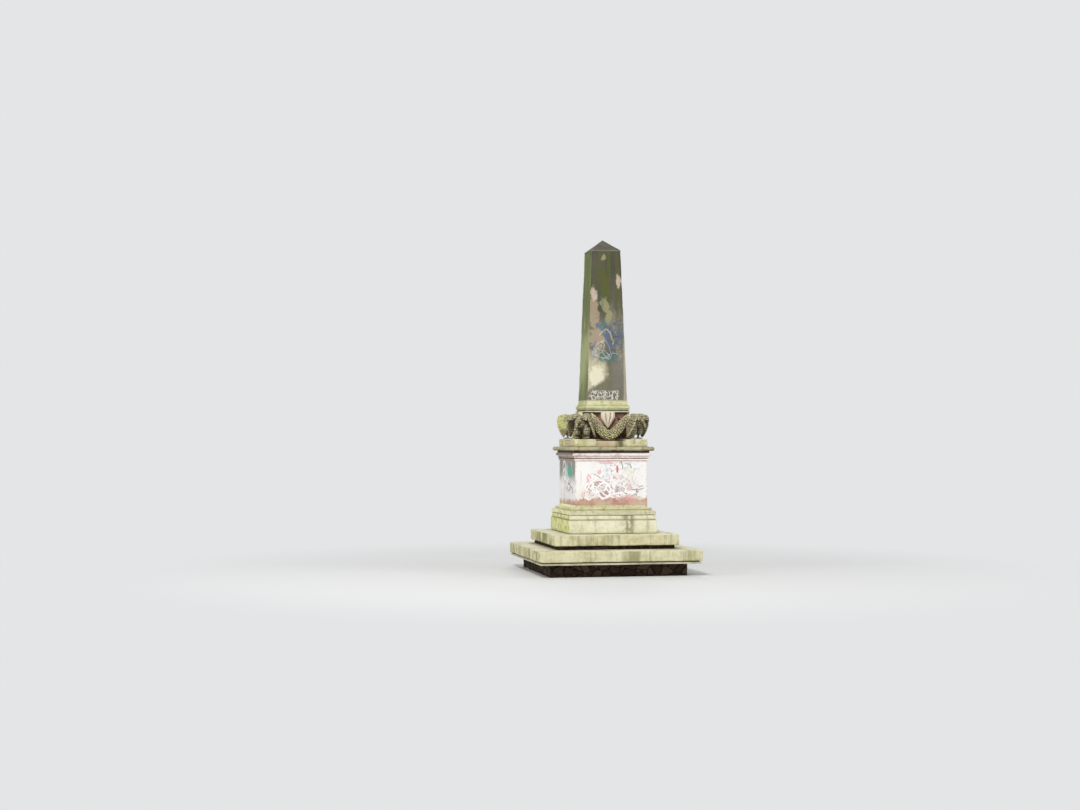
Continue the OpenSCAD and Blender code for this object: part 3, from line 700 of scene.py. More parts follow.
# Old spray on the front: each colour with its strength, its patches and its lines
for colour, strength, patches, strokes in (
        ((224, 160, 160), 0.6,
         ((-0.40, 1.62, 0.035, 0.09), (0.32, 1.48, 0.06, 0.05), (0.32, 1.31, 0.13, 0.05),
          (-0.11, 1.91, 0.15, 0.035), (-0.46, 1.36, 0.06, 0.05), (-0.21, 1.74, 0.035, 0.04)), ()),
        ((168, 106, 108), 0.65,
         ((-0.385, 1.455, 0.06, 0.07), (-0.14, 1.37, 0.09, 0.05), (0.115, 1.42, 0.05, 0.08),
          (-0.25, 1.53, 0.06, 0.06)), ()),
        ((214, 166, 120), 0.5, ((-0.13, 1.43, 0.05, 0.035), (0.02, 1.35, 0.08, 0.04)), ()),
        ((233, 229, 203), 0.5, ((0.31, 1.75, 0.09, 0.10),), ()),
        ((196, 216, 230), 0.55, ((-0.077, 1.49, 0.045, 0.07),),
         ((-0.106, 1.92, -0.077, 1.67, 0.024, 0.01), (0.31, 1.91, 0.19, 1.72, 0.015, 0.02))),
        ((230, 194, 196), 0.5, (), ((-0.54, 1.76, -0.54, 1.50, 0.012, 0.01),)),
        ((238, 228, 180), 0.5, (), ((-0.50, 1.50, -0.49, 1.34, 0.016, 0.01),))):
    red.coat(faces_front * can.marks(patches, strokes) * strength, colour)
red.coat((middle * can.loops(0.11, 52.0, 0.03) * 0.6 + elsewhere * grime.rise(0.46, 0.6)
          * can.loops(0.17, 51.0, 0.05) * cover * 0.4).at_most(1), (184, 96, 100))
red.coat(across.within(-0.3, 0.5, 0.1) * red.z.within(1.35, 1.92, 0.08)
         * can.loops(0.09, 53.0, 0.022) * 0.5, (128, 132, 150))
red.coat(across.within(-0.42, 0.34, 0.1) * red.z.within(1.28, 1.72, 0.06)
         * can.loops(0.12, 54.0, 0.03) * 0.9, (249, 247, 245), 0.15)
red.coat(elsewhere * can.loops(0.16, 55.0, 0.03) * grime.rise(0.54, 0.42)
         * red.z.within(1.3, 1.85, 0.05) * 0.5, (92, 104, 128))
tangle = can.marks((), (
    (-0.46, 1.30, -0.08, 1.74, 0.013, 0.09), (-0.40, 1.66, 0.06, 1.31, 0.012, -0.08),
    (-0.16, 1.28, 0.42, 1.38, 0.013, 0.06), (-0.02, 1.52, 0.22, 1.84, 0.011, 0.07)), (
    (-0.13, 1.43, 0.11, 0.13, 0.017), (-0.26, 1.50, 0.19, 0.10, 0.012, 0.3),
    (0.08, 1.46, 0.17, 0.09, 0.012, -0.4), (-0.34, 1.38, 0.07, 0.11, 0.013, 0.5)))
red.coat(faces_front * tangle * speck.rise(0.3, 0.42), (250, 249, 248), 0.2)
dark_marks = can.marks((), (
    (0.38, 1.34, 0.47, 1.51, 0.012, -0.05), (0.45, 1.33, 0.55, 1.50, 0.011, 0.05),
    (0.36, 1.44, 0.58, 1.47, 0.009, -0.02), (0.17, 1.92, 0.19, 1.80, 0.012, 0.02),
    (0.25, 1.89, 0.36, 1.82, 0.008, 0.02), (-0.34, 1.725, -0.165, 1.62, 0.010, 0.02),
    (-0.30, 1.48, -0.20, 1.40, 0.009, 0.02), (0.17, 1.46, 0.28, 1.37, 0.010, -0.02)))
red.coat(faces_front * dark_marks * speck.rise(0.36, 0.5) * 0.8, (92, 94, 106))
red.coat(faces_front * can.patch(0.107, 1.78, 0.022, 0.05) * 0.85, (208, 72, 62))
teal = faces_left * can.patch(0.22, 1.75, 0.22, 0.10)
red.coat(teal * (grime * 0.5 + runs * 0.5).rise(0.36, 0.5) * 0.9, (84, 172, 144))
red.coat(faces_left * can.marks((), ((-0.42, 1.60, 0.02, 1.57, 0.013, 0.06),), (
    (-0.22, 1.76, 0.12, 0.16, 0.018, -0.2), (-0.13, 1.68, 0.18, 0.09, 0.013, -0.6),
    (-0.30, 1.66, 0.10, 0.14, 0.014, 0.5))), (242, 243, 244), 0.2)
black = can.marks((), (
    (0.05, 1.52, 0.30, 1.44, 0.014, 0.05), (0.08, 1.40, 0.22, 1.53, 0.012, -0.04),
    (0.30, 1.48, 0.42, 1.38, 0.012, 0.03)))
red.coat(faces_left * black * 0.85, (44, 44, 50))
red.coat(red.hollow.rise(0.42, 0.2) * 0.35, (206, 168, 150))
die_finish = red.close(0.0025, 0.8, 0.35)

set_course("painted_die", "pedestal_die", die_finish, "die_stone", 9,
           (0.004, 0.018, 0.12), (0.004, 0.22), (0.12, 8), boxed=True)


# ---- Bed moulding: fascia, hollow and roll of the same red stone, with old white paint on it.
# The paint holds on the roll and the grooves keep their red; painted shade darkens the grooves, a
# band under the cornice and the left side.

bed = sandstone("bed moulding stone", (228, 202, 192), (243, 226, 218), (186, 146, 134))
flakes = bed.crust(0.05, 61.0)
bed.coat((flakes * 0.5 + bed.place.patches(0.3, 62.0) * 0.5).rise(0.38, 0.50)
         * bed.hollow.rise(0.7, 0.4) * 0.9, (250, 241, 236), 0.2)
# painted shade: darker in the hollows and the groove, a dark band under the cornice, and a darker
# left side
bed.coat(bed.hollow.rise(0.52, 0.78) * 0.7, (126, 88, 76))
bed.coat(bed.z.rise(2.072, 2.08) * 0.95, (50, 35, 27))
shaded_groove = bed.z.within(1.969, 1.985, 0.003)
bed.coat(shaded_groove * 0.85, (100, 66, 56))
bed.coat(bed.on_left * (0.45 + flakes * 0.4), (96, 82, 60))
bed.coat((0 - bed.left).rise(0.5, 0.8) * flakes.rise(0.4, 0.6) * 0.5, (150, 128, 106))
bed_finish = bed.close(0.003)

set_course("bed_mouldings", "bed_moulding", bed_finish, "die_stone", 10,
           (0.003, 0.018, 0.12), (0.005, 0.1), (0.13, 5))


# ---- Cornice: one slab of sandstone with a plain face and a sloping top, laid on the bed
# moulding. It throws the rain off the die, and frost has bitten along its edge.

crown = sandstone("cornice stone", (176, 167, 133), (200, 193, 158), (136, 126, 92))
crust = crown.crust(0.1, 71.0)
crown.coat(crown.up.rise(0.2, 0.7) * crust.rise(0.4, 0.6) * 0.75, (166, 168, 104), 0.4)
crown.coat(crown.runs(0.09, 72.0, 0.3).rise(0.5, 0.64) * 0.6, (100, 92, 62))
# painted shade: a dark underside, and a dark band along the lower edge
crown.coat(crown.up.rise(-0.3, -0.8) * 0.9, (66, 49, 38))
crown.coat((crown.z - crust * 0.02).rise(2.118, 2.104) * 0.8, (66, 53, 40))
crown.coat(crown.hollow.rise(0.42, 0.2) * 0.5, (214, 208, 176))
crown_finish = crown.close(0.005)

set_course("cornice_stone", "cornice_slab", crown_finish, "cornice_stone", 11,
           (0.004, 0.030, 0.12), (0.006, 0.10), (0.16, 5), wide=0.025)


# ---- Eagle block: the square block that carries the eagles, cut back in a hollow on each side.
# Its corners are rounded by weather, the middle is worn pink, and moss sits at the corners.

perch = sandstone("eagle block stone", (214, 206, 170), (230, 222, 190), (180, 168, 130))
lichen_and_light_bands = perch.crust(0.1, 81.0)
centre_x = abs(perch.x).at_most(abs(perch.y)).rise(0.3, 0.2)
perch.coat(centre_x * lichen_and_light_bands.rise(0.38, 0.56) * 0.6, (204, 168, 144))
perch.coat((1 - centre_x) * lichen_and_light_bands.rise(0.46, 0.6) * 0.7, (170, 172, 106), 0.5)
wet = perch.runs(0.07, 82.0, 0.2)
stain = perch.x.within(0.10, 0.22, 0.05) * perch.on_front
perch.coat((stain * 0.9 + wet.rise(0.54, 0.66) * 0.4).at_most(1) * wet.rise(0.3, 0.5),
           (98, 96, 58))
perch.coat(perch.hollow.rise(0.55, 0.8) * 0.6, (84, 74, 50))
perch.coat(perch.up.rise(0.5, 0.9) * lichen_and_light_bands.rise(0.36, 0.55) * 0.65, (150, 148, 96), 0.4)
perch_finish = perch.close(0.005)


def even_faces(piece, voxel):
    """Makes a piece over with one skin of small faces, all of one size."""
    remesh = piece.modifiers.new("even faces", "REMESH")
    remesh.mode = "VOXEL"
    remesh.voxel_size = voxel
    apply_all(piece)


def carved_copy(name, node, voxel):
    """A copy of a CAD node, merged and divided into small even faces, for the chisel."""
    copy = bpy.data.objects.new(name, frame["nodes"][node].data.copy())
    bpy.context.scene.collection.objects.link(copy)
    copy.select_set(True)
    bpy.context.view_layer.objects.active = copy
    bpy.ops.object.mode_set(mode="EDIT")
    bpy.ops.mesh.select_all(action="SELECT")
    bpy.ops.mesh.remove_doubles(threshold=1e-5)
    bpy.ops.mesh.normals_make_consistent(inside=False)
    bpy.ops.object.mode_set(mode="OBJECT")
    even_faces(copy, voxel)
    return copy


def soften(piece, times, factor=0.5):
    """Evens out a surface a little, so many times."""
    smooth = piece.modifiers.new("soften", "SMOOTH")
    smooth.factor, smooth.iterations = factor, times
    apply_all(piece)


def keep_shell(piece):
    """Keeps the shell that reaches highest, without the loose specks that even_faces leaves
    beside or inside it."""
    bpy.ops.object.select_all(action="DESELECT")
    bpy.context.view_layer.objects.active = piece
    highest = max(v.co.z for v in piece.data.vertices)
    bpy.ops.object.mode_set(mode="EDIT")
    pick(piece, "verts", lambda point: point.co.z == highest)
    bpy.ops.mesh.select_linked()
    bpy.ops.mesh.select_all(action="INVERT")
    bpy.ops.mesh.delete(type="VERT")
    bpy.ops.object.mode_set(mode="OBJECT")


def thin_out(piece, share):
    """Takes out the faces that the shape doesn't need."""
    fewer = piece.modifiers.new("fewer faces", "DECIMATE")
    fewer.ratio = share
    apply_all(piece)


block = carved_copy("eagle_block_stone", "eagle_block", 0.011)
wear(block, 0.006, 0.030, 0.14, 12.4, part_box("eagle_block"))
soften(block, 2)
fret(block, 0.005, 0.07, 12)
thin_out(block, 0.45)
set_piece(block, perch_finish, "eagle_block")


# ---- Core: the square pier between the eagles, of pinkish red sandstone. It carries the cap
# and the shaft. Its stone is painted in shade, darker in patches, under the cap and low down,
# with a pink patch on each face where it is painted as lit.

pier = sandstone("core stone", (128, 96, 80), (158, 118, 98), (84, 62, 48))
# painted shade: dark patches, a dark band under the cap and another low down; the pink patch is
# the stone as lit
shade_and_soot = pier.place.patches(0.14, 91.0, 5.0)
pier.coat(shade_and_soot.rise(0.42, 0.54) * 0.8, (58, 46, 36))
pier.coat(pier.z.rise(2.70, 2.76) * 0.7, (36, 30, 24))
bare = abs(pier.x).at_most(abs(pier.y)).within(0.10, 0.27, 0.05) * shade_and_soot.rise(0.56, 0.46)
pier.coat(bare * pier.z.within(2.50, 2.68, 0.05) * 0.7, (186, 136, 116))
pier.coat((pier.z + pier.place.patches(0.08, 92.0) * 0.15).rise(2.42, 2.34) * 0.7, (44, 38, 28))
pier_finish = pier.close(0.004)

set_course("core_pier", "ornament_core", pier_finish, "ornament_stone", 13, None,
           (0.006, 0.1), wide=0.04)


# ---- Eagles: one at each corner of the block, carved with half-open wings and a lowered head.
# They are rough masses first, then feathers laid on in rows, joined and worn into one stone.

# How far an eagle reaches to the front, how far to each side, and its height
REACH, HALF_SPAN, TALL = 0.235, 0.265, 0.455
masses = []


def lump(at, half):
    """A rough mass, by its middle and its half sizes."""
    bpy.ops.mesh.primitive_uv_sphere_add(
        segments=18, ring_count=12, radius=1, location=at, scale=half)
    bpy.ops.object.transform_apply(location=True, rotation=True, scale=True)
    masses.append(bpy.context.object)


def mirrored(at, side):
    """A place as it is where side is 1, and on the other side of the bird where it's -1."""
    return Vector((at[0], side * at[1], at[2]))


def limb(places, sizes, steps, side=1):
    """A run of masses from place to place, as thick as the sizes say. Side is 1 for the side of
    the bird that the places are on, and -1 for the other."""
    for (a, b), (ra, rb) in zip(zip(places, places[1:]), zip(sizes, sizes[1:])):
        for i in range(steps + 1):
            t = i / steps
            lump(mirrored(Vector(a).lerp(Vector(b), t), side), Vector(ra).lerp(Vector(rb), t))


def thin_piece(name, columns, rows, place, way, back=None):
    """A grid with each point put in its place, drawn out one way. It is planed flat where a
    back is given, as a place on the plane and the way that the plane faces."""
    bpy.ops.mesh.primitive_grid_add(x_subdivisions=columns, y_subdivisions=rows, size=2)
    piece = bpy.context.object
    piece.name = piece.data.name = name
    for point in piece.data.vertices:
        point.co = place(point.co.x, point.co.y)
    bpy.ops.object.mode_set(mode="EDIT")
    bpy.ops.mesh.select_all(action="SELECT")
    bpy.ops.mesh.extrude_region_move(TRANSFORM_OT_translate={"value": way})
    bpy.ops.mesh.select_all(action="SELECT")
    if back:
        bpy.ops.mesh.bisect(plane_co=back[0], plane_no=back[1], use_fill=True, clear_outer=True)
        bpy.ops.mesh.select_all(action="SELECT")
    bpy.ops.mesh.normals_make_consistent(inside=False)
    bpy.ops.object.mode_set(mode="OBJECT")
    return piece


def feather_place(x, y):
    """Along x from the quill to the tip, with a ridge down the middle."""
    a = (x + 1) / 2
    broad = math.sqrt(max(0.0, 1 - max(0.0, (a - 0.5) / 0.5) ** 2.4)) * (0.75 + 0.25 * a)
    return a, 0.5 * y * max(broad, 0.04), 1 - 0.45 * abs(y) ** 1.3


feather = thin_piece("feather", 7, 4, feather_place, (0, 0, -1.2))


def lay_feather(path, width, thick, lift=0.0):
    """Lays a copy of the feather along a path. The path gives the place and the way out of the
    surface, for shares from 0 at the quill to 1 at the tip."""
    copy = bpy.data.objects.new("feather", feather.data.copy())
    bpy.context.scene.collection.objects.link(copy)
    for point in copy.data.vertices:
        a, b, c = point.co
        at, out = path(a)
        ahead, behind = path(min(1, a + 0.02))[0], path(max(0, a - 0.02))[0]
        along = (ahead - behind).normalized()
        out = (out - along * out.dot(along)).normalized()
        side = out.cross(along)
        point.co = at + side * (b * width) + out * (c * thick + lift * a)
    masses.append(copy)


def wing_at(share, s, side):
    """A place on the outside of a wing, from its leading feather at share 0 to its last at 1,
    and from the roots at s = 0 to the tips at s = 1."""
    root = Vector((0.62 - 0.66 * share, 0.70 - 0.12 * share, 0.84 + 0.04 * math.sin(3.14 * share)))
    tip = Vector((-0.02 - 0.2 * share, 0.95 - 0.22 * share, 0.05 + 0.36 * share * share))
    bow = 4 * s * (1 - s)
    at = root.lerp(tip, s) + bow * Vector((0.15 * (1 - share), 0.08, 0.02))
    return Vector((at.x * REACH, side * at.y * HALF_SPAN, at.z * TALL))


def wing_path(share, start, long, side):
    """A path down a wing, from start on, as long as a share of the wing."""
    def path(a):
        s = start + long * a
        at = wing_at(share, s, side)
        by_s = wing_at(share, s + 0.02, side) - wing_at(share, s - 0.02, side)
        by_share = wing_at(share + 0.02, s, side) - wing_at(share - 0.02, s, side)
        out = by_s.cross(by_share).normalized()
        if out.y * side < 0:
            out = -out
        return at, out
    return path


def over_mass(middle, half, turn, start, end):
    """A path down the outside of a round mass, in the plane at an angle of turn degrees."""
    c, n = math.cos(math.radians(turn)), math.sin(math.radians(turn))

    def path(a):
        polar = math.radians(start + (end - start) * a)
        ball = Vector((math.sin(polar) * c, math.sin(polar) * n, math.cos(polar)))
        at = Vector([m + h * k for m, h, k in zip(middle, half, ball)])
        out = Vector([k / h for h, k in zip(half, ball)]).normalized()
        return at, out
    return path


def lay_rows(middle, half, first, sweep, rows, width):
    """Rows of short feathers down a round mass, each row over the roots of the next. The rows
    are given as (start in degrees from the top, count), over a sweep about the mass."""
    for index, (polar, count) in enumerate(rows):
        for k in range(count):
            turn = first + sweep * (k + 0.5 * (index % 2)) / count
            lay_feather(over_mass(middle, half, turn, polar, polar + 33), width, 0.007, 0.009)


def join_masses(name):
    """Joins all that lies on the bench into one object, and clears the bench."""
    bpy.ops.object.select_all(action="DESELECT")
    for mass in masses:
        mass.select_set(True)
    bpy.context.view_layer.objects.active = masses[0]
    bpy.ops.object.join()
    masses.clear()
    joined = bpy.context.object
    joined.name = joined.data.name = name
    return joined


def one_stone(piece, voxel, factor):
    """Makes joined masses into one stone with one skin, worn a little soft."""
    even_faces(piece, voxel)
    keep_shell(piece)
    soften(piece, 1, factor)


def set_round(master, sides, place, finish, dips, seed, share=None, rounds=10, full=0.003):
    """Sets a copy of a carving on each side, by its turn in degrees, and weathers each in its
    own way. Place is where the carving stands before the turn, and share what thin_out takes."""
    for index, (side, angle) in enumerate(sides):
        piece = master.copy()
        piece.data = master.data.copy()
        node = master.name + "_" + side
        piece.name = piece.data.name = "carved_" + node
        bpy.context.scene.collection.objects.link(piece)
        piece.data.transform(
            Matrix.Rotation(math.radians(angle), 4, "Z") @ Matrix.Translation(place))
        fret(piece, *dips, seed + index)
        if share:
            thin_out(piece, share)
        set_piece(piece, finish, node, rounds=rounds, full=full)
    bpy.data.objects.remove(master)


# The trunk, from the tail over the back to the breast
limb([(-0.055, 0, 0.155), (0.01, 0, 0.245), (0.06, 0, 0.30), (0.095, 0, 0.325)],
     [(0.035, 0.05, 0.05), (0.07, 0.085, 0.08), (0.08, 0.095, 0.085), (0.06, 0.07, 0.06)], 4)
limb([(-0.06, 0, 0.17), (-0.09, 0, 0.03)], [(0.03, 0.055, 0.05), (0.018, 0.075, 0.03)], 6)
# The neck bends down in front of the breast to the head, with a hooked beak
limb([(0.09, 0, 0.340), (0.128, 0, 0.308), (0.144, 0, 0.280)],
     [(0.060, 0.064, 0.056), (0.050, 0.053, 0.052), (0.047, 0.047, 0.045)], 4)
limb([(0.156, 0, 0.268), (0.186, 0, 0.247), (0.203, 0, 0.216), (0.200, 0, 0.190)],
     [(0.033, 0.029, 0.029), (0.024, 0.020, 0.023), (0.015, 0.012, 0.018),
      (0.006, 0.006, 0.007)], 5)
for side in (1, -1):
    # The brow over the eye, and the eye in its hollow
    limb([(0.130, 0.041, 0.302), (0.165, 0.041, 0.290), (0.186, 0.023, 0.270)],
         [(0.016, 0.011, 0.011), (0.015, 0.012, 0.010), (0.009, 0.009, 0.008)], 4, side)
    lump(mirrored((0.167, 0.036, 0.272), side), (0.011, 0.009, 0.010))
    # The arm of the wing, from the back over the shoulder to the wrist
    limb([(-0.06, 0.115, 0.385), (0.04, 0.11, 0.365), (0.125, 0.145, 0.365),
          (0.155, 0.165, 0.345)],
         [(0.04, 0.04, 0.035), (0.075, 0.062, 0.065), (0.055, 0.048, 0.062),
          (0.032, 0.030, 0.045)], 5, side)
    # The leg: a thick feathered thigh, a short shank, three toes in front and one behind
    limb([(0.035, 0.085, 0.225), (0.02, 0.104, 0.15), (0.006, 0.107, 0.085)],
         [(0.060, 0.052, 0.062), (0.052, 0.045, 0.052), (0.034, 0.032, 0.03)], 5, side)
    limb([(0.003, 0.107, 0.075), (0, 0.107, 0.022)],
         [(0.019, 0.019, 0.02), (0.020, 0.020, 0.020)], 4, side)
    for turn, long in ((0, 0.096), (-36, 0.084), (36, 0.084), (180, 0.058)):
        way = Vector((math.cos(math.radians(turn)), math.sin(math.radians(turn)), 0))
        foot = mirrored((0, 0.107, 0.0), side)
        rise = Vector((0, 0, 1))
        limb([foot + rise * 0.020, foot + way * long * 0.35 + rise * 0.018,
              foot + way * long * 0.66 + rise * 0.015],
             [(0.017, 0.017, 0.016), (0.0125, 0.0125, 0.013), (0.0115, 0.0115, 0.012)], 4)
        lump(foot + way * long * 0.38 + rise * 0.020, (0.0145, 0.0145, 0.013))
        limb([foot + way * long * 0.70 + rise * 0.017, foot + way * long * 0.88 + rise * 0.014,
              foot + way * long + rise * 0.002],
             [(0.009, 0.009, 0.010), (0.0065, 0.0065, 0.009), (0.0035, 0.0035, 0.005)], 4)
    # The web of the wing, which the feathers lie on
    for k in range(9):
        share = k / 8
        for i in range(9):
            at = wing_at(share, i / 9 * (0.86 if k % 2 else 0.93), side)
            lump(at - Vector((0, side * 0.008, 0)), (0.018, 0.011, 0.026))
    # Long feathers, then three rows of shorter ones over their roots
    for k in range(8):
        lay_feather(wing_path(k / 7, 0.22, 0.78, side), 0.040 - 0.001 * k, 0.015, 0.003)
    for row, (start, long, count) in enumerate(
            ((0.31, 0.24, 9), (0.18, 0.23, 9), (0.04, 0.23, 8))):
        for k in range(count):
            share = (k + 0.5 * (row % 2)) / (count - 0.5)
            lay_feather(wing_path(share, start, long, side), 0.046, 0.011, 0.010 + 0.003 * row)
    # Rows of short feathers over the arm, the shoulder and the wrist
    lay_rows(mirrored((0.045, 0.105, 0.345), side), (0.106, 0.078, 0.091), 0, 360,
             ((3, 6), (30, 10), (57, 12)), 0.056)
    lay_rows(mirrored((0.118, 0.148, 0.350), side), (0.058, 0.050, 0.068), -120, 240,
             ((20, 5), (48, 6), (76, 7)), 0.044)
    # The feathers of the thigh, which end in a ragged fringe above the shank
    lay_rows(mirrored((0.02, 0.098, 0.155), side), (0.056, 0.049, 0.10), 0, 360,
             ((62, 8), (86, 8), (110, 8)), 0.044)
# The feathers of the breast and the neck, and of the tail
lay_rows((0.055, 0, 0.275), (0.092, 0.098, 0.105), -110, 220,
         ((35, 6), (58, 8), (82, 9), (106, 8)), 0.050)
lay_rows((0.118, 0, 0.300), (0.056, 0.058, 0.062), -110, 220, ((30, 6), (56, 7), (82, 7)), 0.036)
for k in range(5):
    fan = (k - 2) * 0.030

    def tail_path(a, fan=fan):
        return (Vector((-0.075 - 0.03 * a, fan * (0.6 + 0.6 * a), 0.19 - 0.17 * a)),
                Vector((-1, 0, 0.15)))
    lay_feather(tail_path, 0.040, 0.012, 0.0)

eagle = join_masses("eagle")
bpy.data.objects.remove(feather)
one_stone(eagle, 0.0043, 0.5)
# The eyes are cut in: a ring is hollowed round each, which leaves the ball standing
for side in (1, -1):
    eye = mirrored((0.172, 0.042, 0.272), side)
    for point in eagle.data.vertices:
        near = (point.co - eye).length / 0.017
        if near < 1:
            ring = 1 - abs(near - 0.62) / 0.38 if near > 0.24 else 0
            point.co -= Vector((0.4, 0.9 * side, 0)) * 0.007 * max(0, ring)

plumage = sandstone("eagle stone", (119, 110, 84), (152, 142, 112), (78, 70, 50), 0.1)
crust = plumage.crust(0.07, 101.0)
# painted light: paler tops, painted highlights on the ridges, and painted shade in the hollows and
# on the undersides
plumage.coat(plumage.up.rise(0.0, 0.8) * 0.45, (186, 178, 143))
plumage.coat(plumage.hollow.rise(0.5, 0.05) * 0.85, (202, 193, 157))
plumage.coat(plumage.hollow.rise(0.5, 1.0) * 0.9, (36, 30, 21))
plumage.coat(plumage.up.rise(0.2, 0.8) * crust.rise(0.46, 0.6) * 0.6, (140, 138, 92), 0.3)
plumage.coat(plumage.up.rise(-0.1, -0.7) * 0.8, (46, 40, 28))
rear_left = plumage.x.rise(-0.1, -0.2) * plumage.y.rise(0.1, 0.2)
plumage.coat(rear_left * crust.rise(0.34, 0.5) * plumage.z.rise(2.44, 2.52) * 0.85,
             (190, 191, 126), 0.6)
plumage.coat((plumage.z + crust * 0.05).rise(2.37, 2.33) * 0.55, (166, 158, 116))
plumage_finish = plumage.close(0.0035)

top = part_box("eagle_block")[1]
set_round(eagle, (("front_left", -135), ("front_right", -45), ("back_right", 45),
                  ("back_left", 135)), (top.x * math.sqrt(2) - 0.257, 0, top.z),
          plumage_finish, (0.005, 0.05), 20, 0.45)


# ---- Garlands: four thick ropes of laurel that hang from behind the eagles' shoulders.
# Leaves in rings point to the middle of each rope, and moss lies in the lowest part.

# Half the rope's span, how far from the axis its back hangs, how far its ends stand out past
# its middle, the height of its middle above the block, how much higher its ends are, and its radii
HALF_LONG, BACK, FLARE, LOW, RISE = 0.34527, 0.385, 0.1103, 0.072, 0.313
MIDDLE_R, END_R = 0.080, 0.056


def rope(t):
    """The middle of the front garland, for t from -1 to 1."""
    drape = (t * t + (1 - math.cos(math.pi * t)) / 2) / 2
    return Vector((t * HALF_LONG, -BACK - MIDDLE_R - FLARE * t * t, LOW + RISE * drape))


def rope_radius(t):
    """The rope is thickest in its middle."""
    return MIDDLE_R + (END_R - MIDDLE_R) * t * t


def along_rope(t):
    """The way that the rope runs at t."""
    return (rope(t + 0.01) - rope(t - 0.01)).normalized()


def leaf_place(x, y):
    """Along x from the stalk to the tip, cupped, with a midrib."""
    a = (x + 1) / 2
    broad = math.sin(math.pi * min(1.0, 0.12 + 0.88 * a) ** 0.85) ** 0.8 if a < 1 else 0.03
    rib = 0.5 * max(0.0, 1 - 3 * abs(y)) - 0.35 * abs(y) + 0.5 * a * a
    return a, 0.5 * y * max(broad, 0.03), 0.6 + rib


leaf = thin_piece("leaf", 6, 4, leaf_place, (0, 0, -1.0))
for i in range(33):
    t = -1 + i / 16
    r = 0.84 * rope_radius(t)
    lump(rope(t), (r, r, r))
rows = 12
for half in (-1, 1):
    for row in range(rows):
        t0 = half * (1 - (row - 0.8) / rows)
        for k in range(8):
            turn = 2 * math.pi * (k + 0.5 * (row % 2)) / 8
            jitter = noise.noise(Vector((row, k, half)) * 3.7)

            def leaf_path(a, t0=t0, turn=turn, half=half, jitter=jitter):
                t = t0 - half * 0.16 * a
                along = along_rope(t)
                out = Vector((0, 1, 0)).cross(along).normalized()
                back = along.cross(out)
                angle = turn + 0.25 * jitter * a
                ray = out * math.cos(angle) + back * math.sin(angle)
                return rope(t) + ray * rope_radius(t) * 0.80, ray
            copy = bpy.data.objects.new("leaf", leaf.data.copy())
            bpy.context.scene.collection.objects.link(copy)
            for point in copy.data.vertices:
                a, b, c = point.co
                at, ray = leaf_path(a)
                along = (leaf_path(min(1, a + 0.03))[0] - leaf_path(max(0, a - 0.03))[0])
                along = along.normalized()
                side = ray.cross(along)
                point.co = (at + side * b * (0.060 + 0.008 * jitter)
                            + ray * (c * 0.017 + 0.010 * a * a - 0.002))
            masses.append(copy)
            if (2 * row + 3 * k) % 7 == 0:
                at, ray = leaf_path(0.35)
                lump(at + ray * 0.020 + along_rope(t0) * 0.012 * jitter, (0.011,) * 3)
garland = join_masses("garland")
bpy.data.objects.remove(leaf)
# The ends are sawn square where the eagles' backs hold them
bpy.ops.object.mode_set(mode="EDIT")
for end in (-1, 1):
    bpy.ops.mesh.select_all(action="SELECT")
    bpy.ops.mesh.bisect(plane_co=(end * (HALF_LONG - 0.001), 0, 0), plane_no=(end, 0, 0),
                        use_fill=True, clear_outer=True)
bpy.ops.object.mode_set(mode="OBJECT")
one_stone(garland, 0.0048, 0.4)

laurel = sandstone("garland stone", (165, 155, 120), (200, 190, 153), (112, 104, 77), 0.1)
crust = laurel.crust(0.06, 111.0)
# painted highlights on the ridges, and painted shade in the hollows and under the rope
laurel.coat(laurel.hollow.rise(0.5, 0.05) * 0.85, (232, 223, 186))
laurel.coat(laurel.hollow.rise(0.5, 1.0) * 0.85, (44, 38, 26))
laurel.coat(laurel.z.rise(2.52, 2.40) * crust.rise(0.38, 0.54) * 0.85
            * laurel.hollow.rise(0.66, 0.5), (220, 214, 156), 0.5)
laurel.coat(laurel.up.rise(-0.5, -0.9) * 0.6, (60, 54, 38))
laurel_finish = laurel.close(0.0035)

quarters = (("front", 0), ("right", 90), ("back", 180), ("left", 270))
set_round(garland, quarters, (0, 0, top.z), laurel_finish, (0.003, 0.05), 30,
          0.40)


# ---- Pendants: a folded tongue of drapery on each face of the core, hanging from under the cap.
# Each is carved from paler sandstone and set flat against the core, with painted shade in its
# folds.

drape_stone = sandstone("pendant stone", (238, 226, 203), (248, 239, 220), (200, 184, 158))
drape_stone.coat(drape_stone.place.patches(0.08, 121.0, 5.0).rise(0.52, 0.66) * 0.5,
                 (164, 148, 118))
# painted shade in the folds, painted highlights on the ridges, and painted light on the lower part
drape_stone.coat(drape_stone.hollow.rise(0.53, 0.75) * 0.65, (96, 79, 62))
drape_stone.coat(drape_stone.hollow.rise(0.46, 0.25) * 0.6, (244, 235, 217))
drape_stone.coat(drape_stone.z.rise(2.60, 2.54) * 0.5, (244, 234, 216))
drape_finish = drape_stone.close(0.003)

low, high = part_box("pendant_front")
wide, drop, thick = high.x - low.x, high.z - low.z, high.y - low.y


def cloth_place(b, y):
    """Folds that run down from the cap, and draw together to a tip."""
    down = (1 - y) / 2
    narrow = 1 if down < 0.3 else max(0.03, 1 - ((down - 0.3) / 0.7) ** 1.15)
    folds = (0.5 + 0.5 * math.cos(b * 3.1 * math.pi + 1.2 * (down - 0.5) * b)) ** 0.8
    swell = (1 - abs(b) ** 1.6) * (1 - 0.55 * down)
    scallop = 0.05 * (0.5 - folds) * (down > 0.28)
    depth = thick * min(0.95, 0.13 + 0.36 * swell + 0.50 * folds * (1 - 0.35 * down))
    z = high.z - drop * min(1, down * (1 + scallop))
    return b * narrow * wide / 2 * 0.995, high.y - depth, z


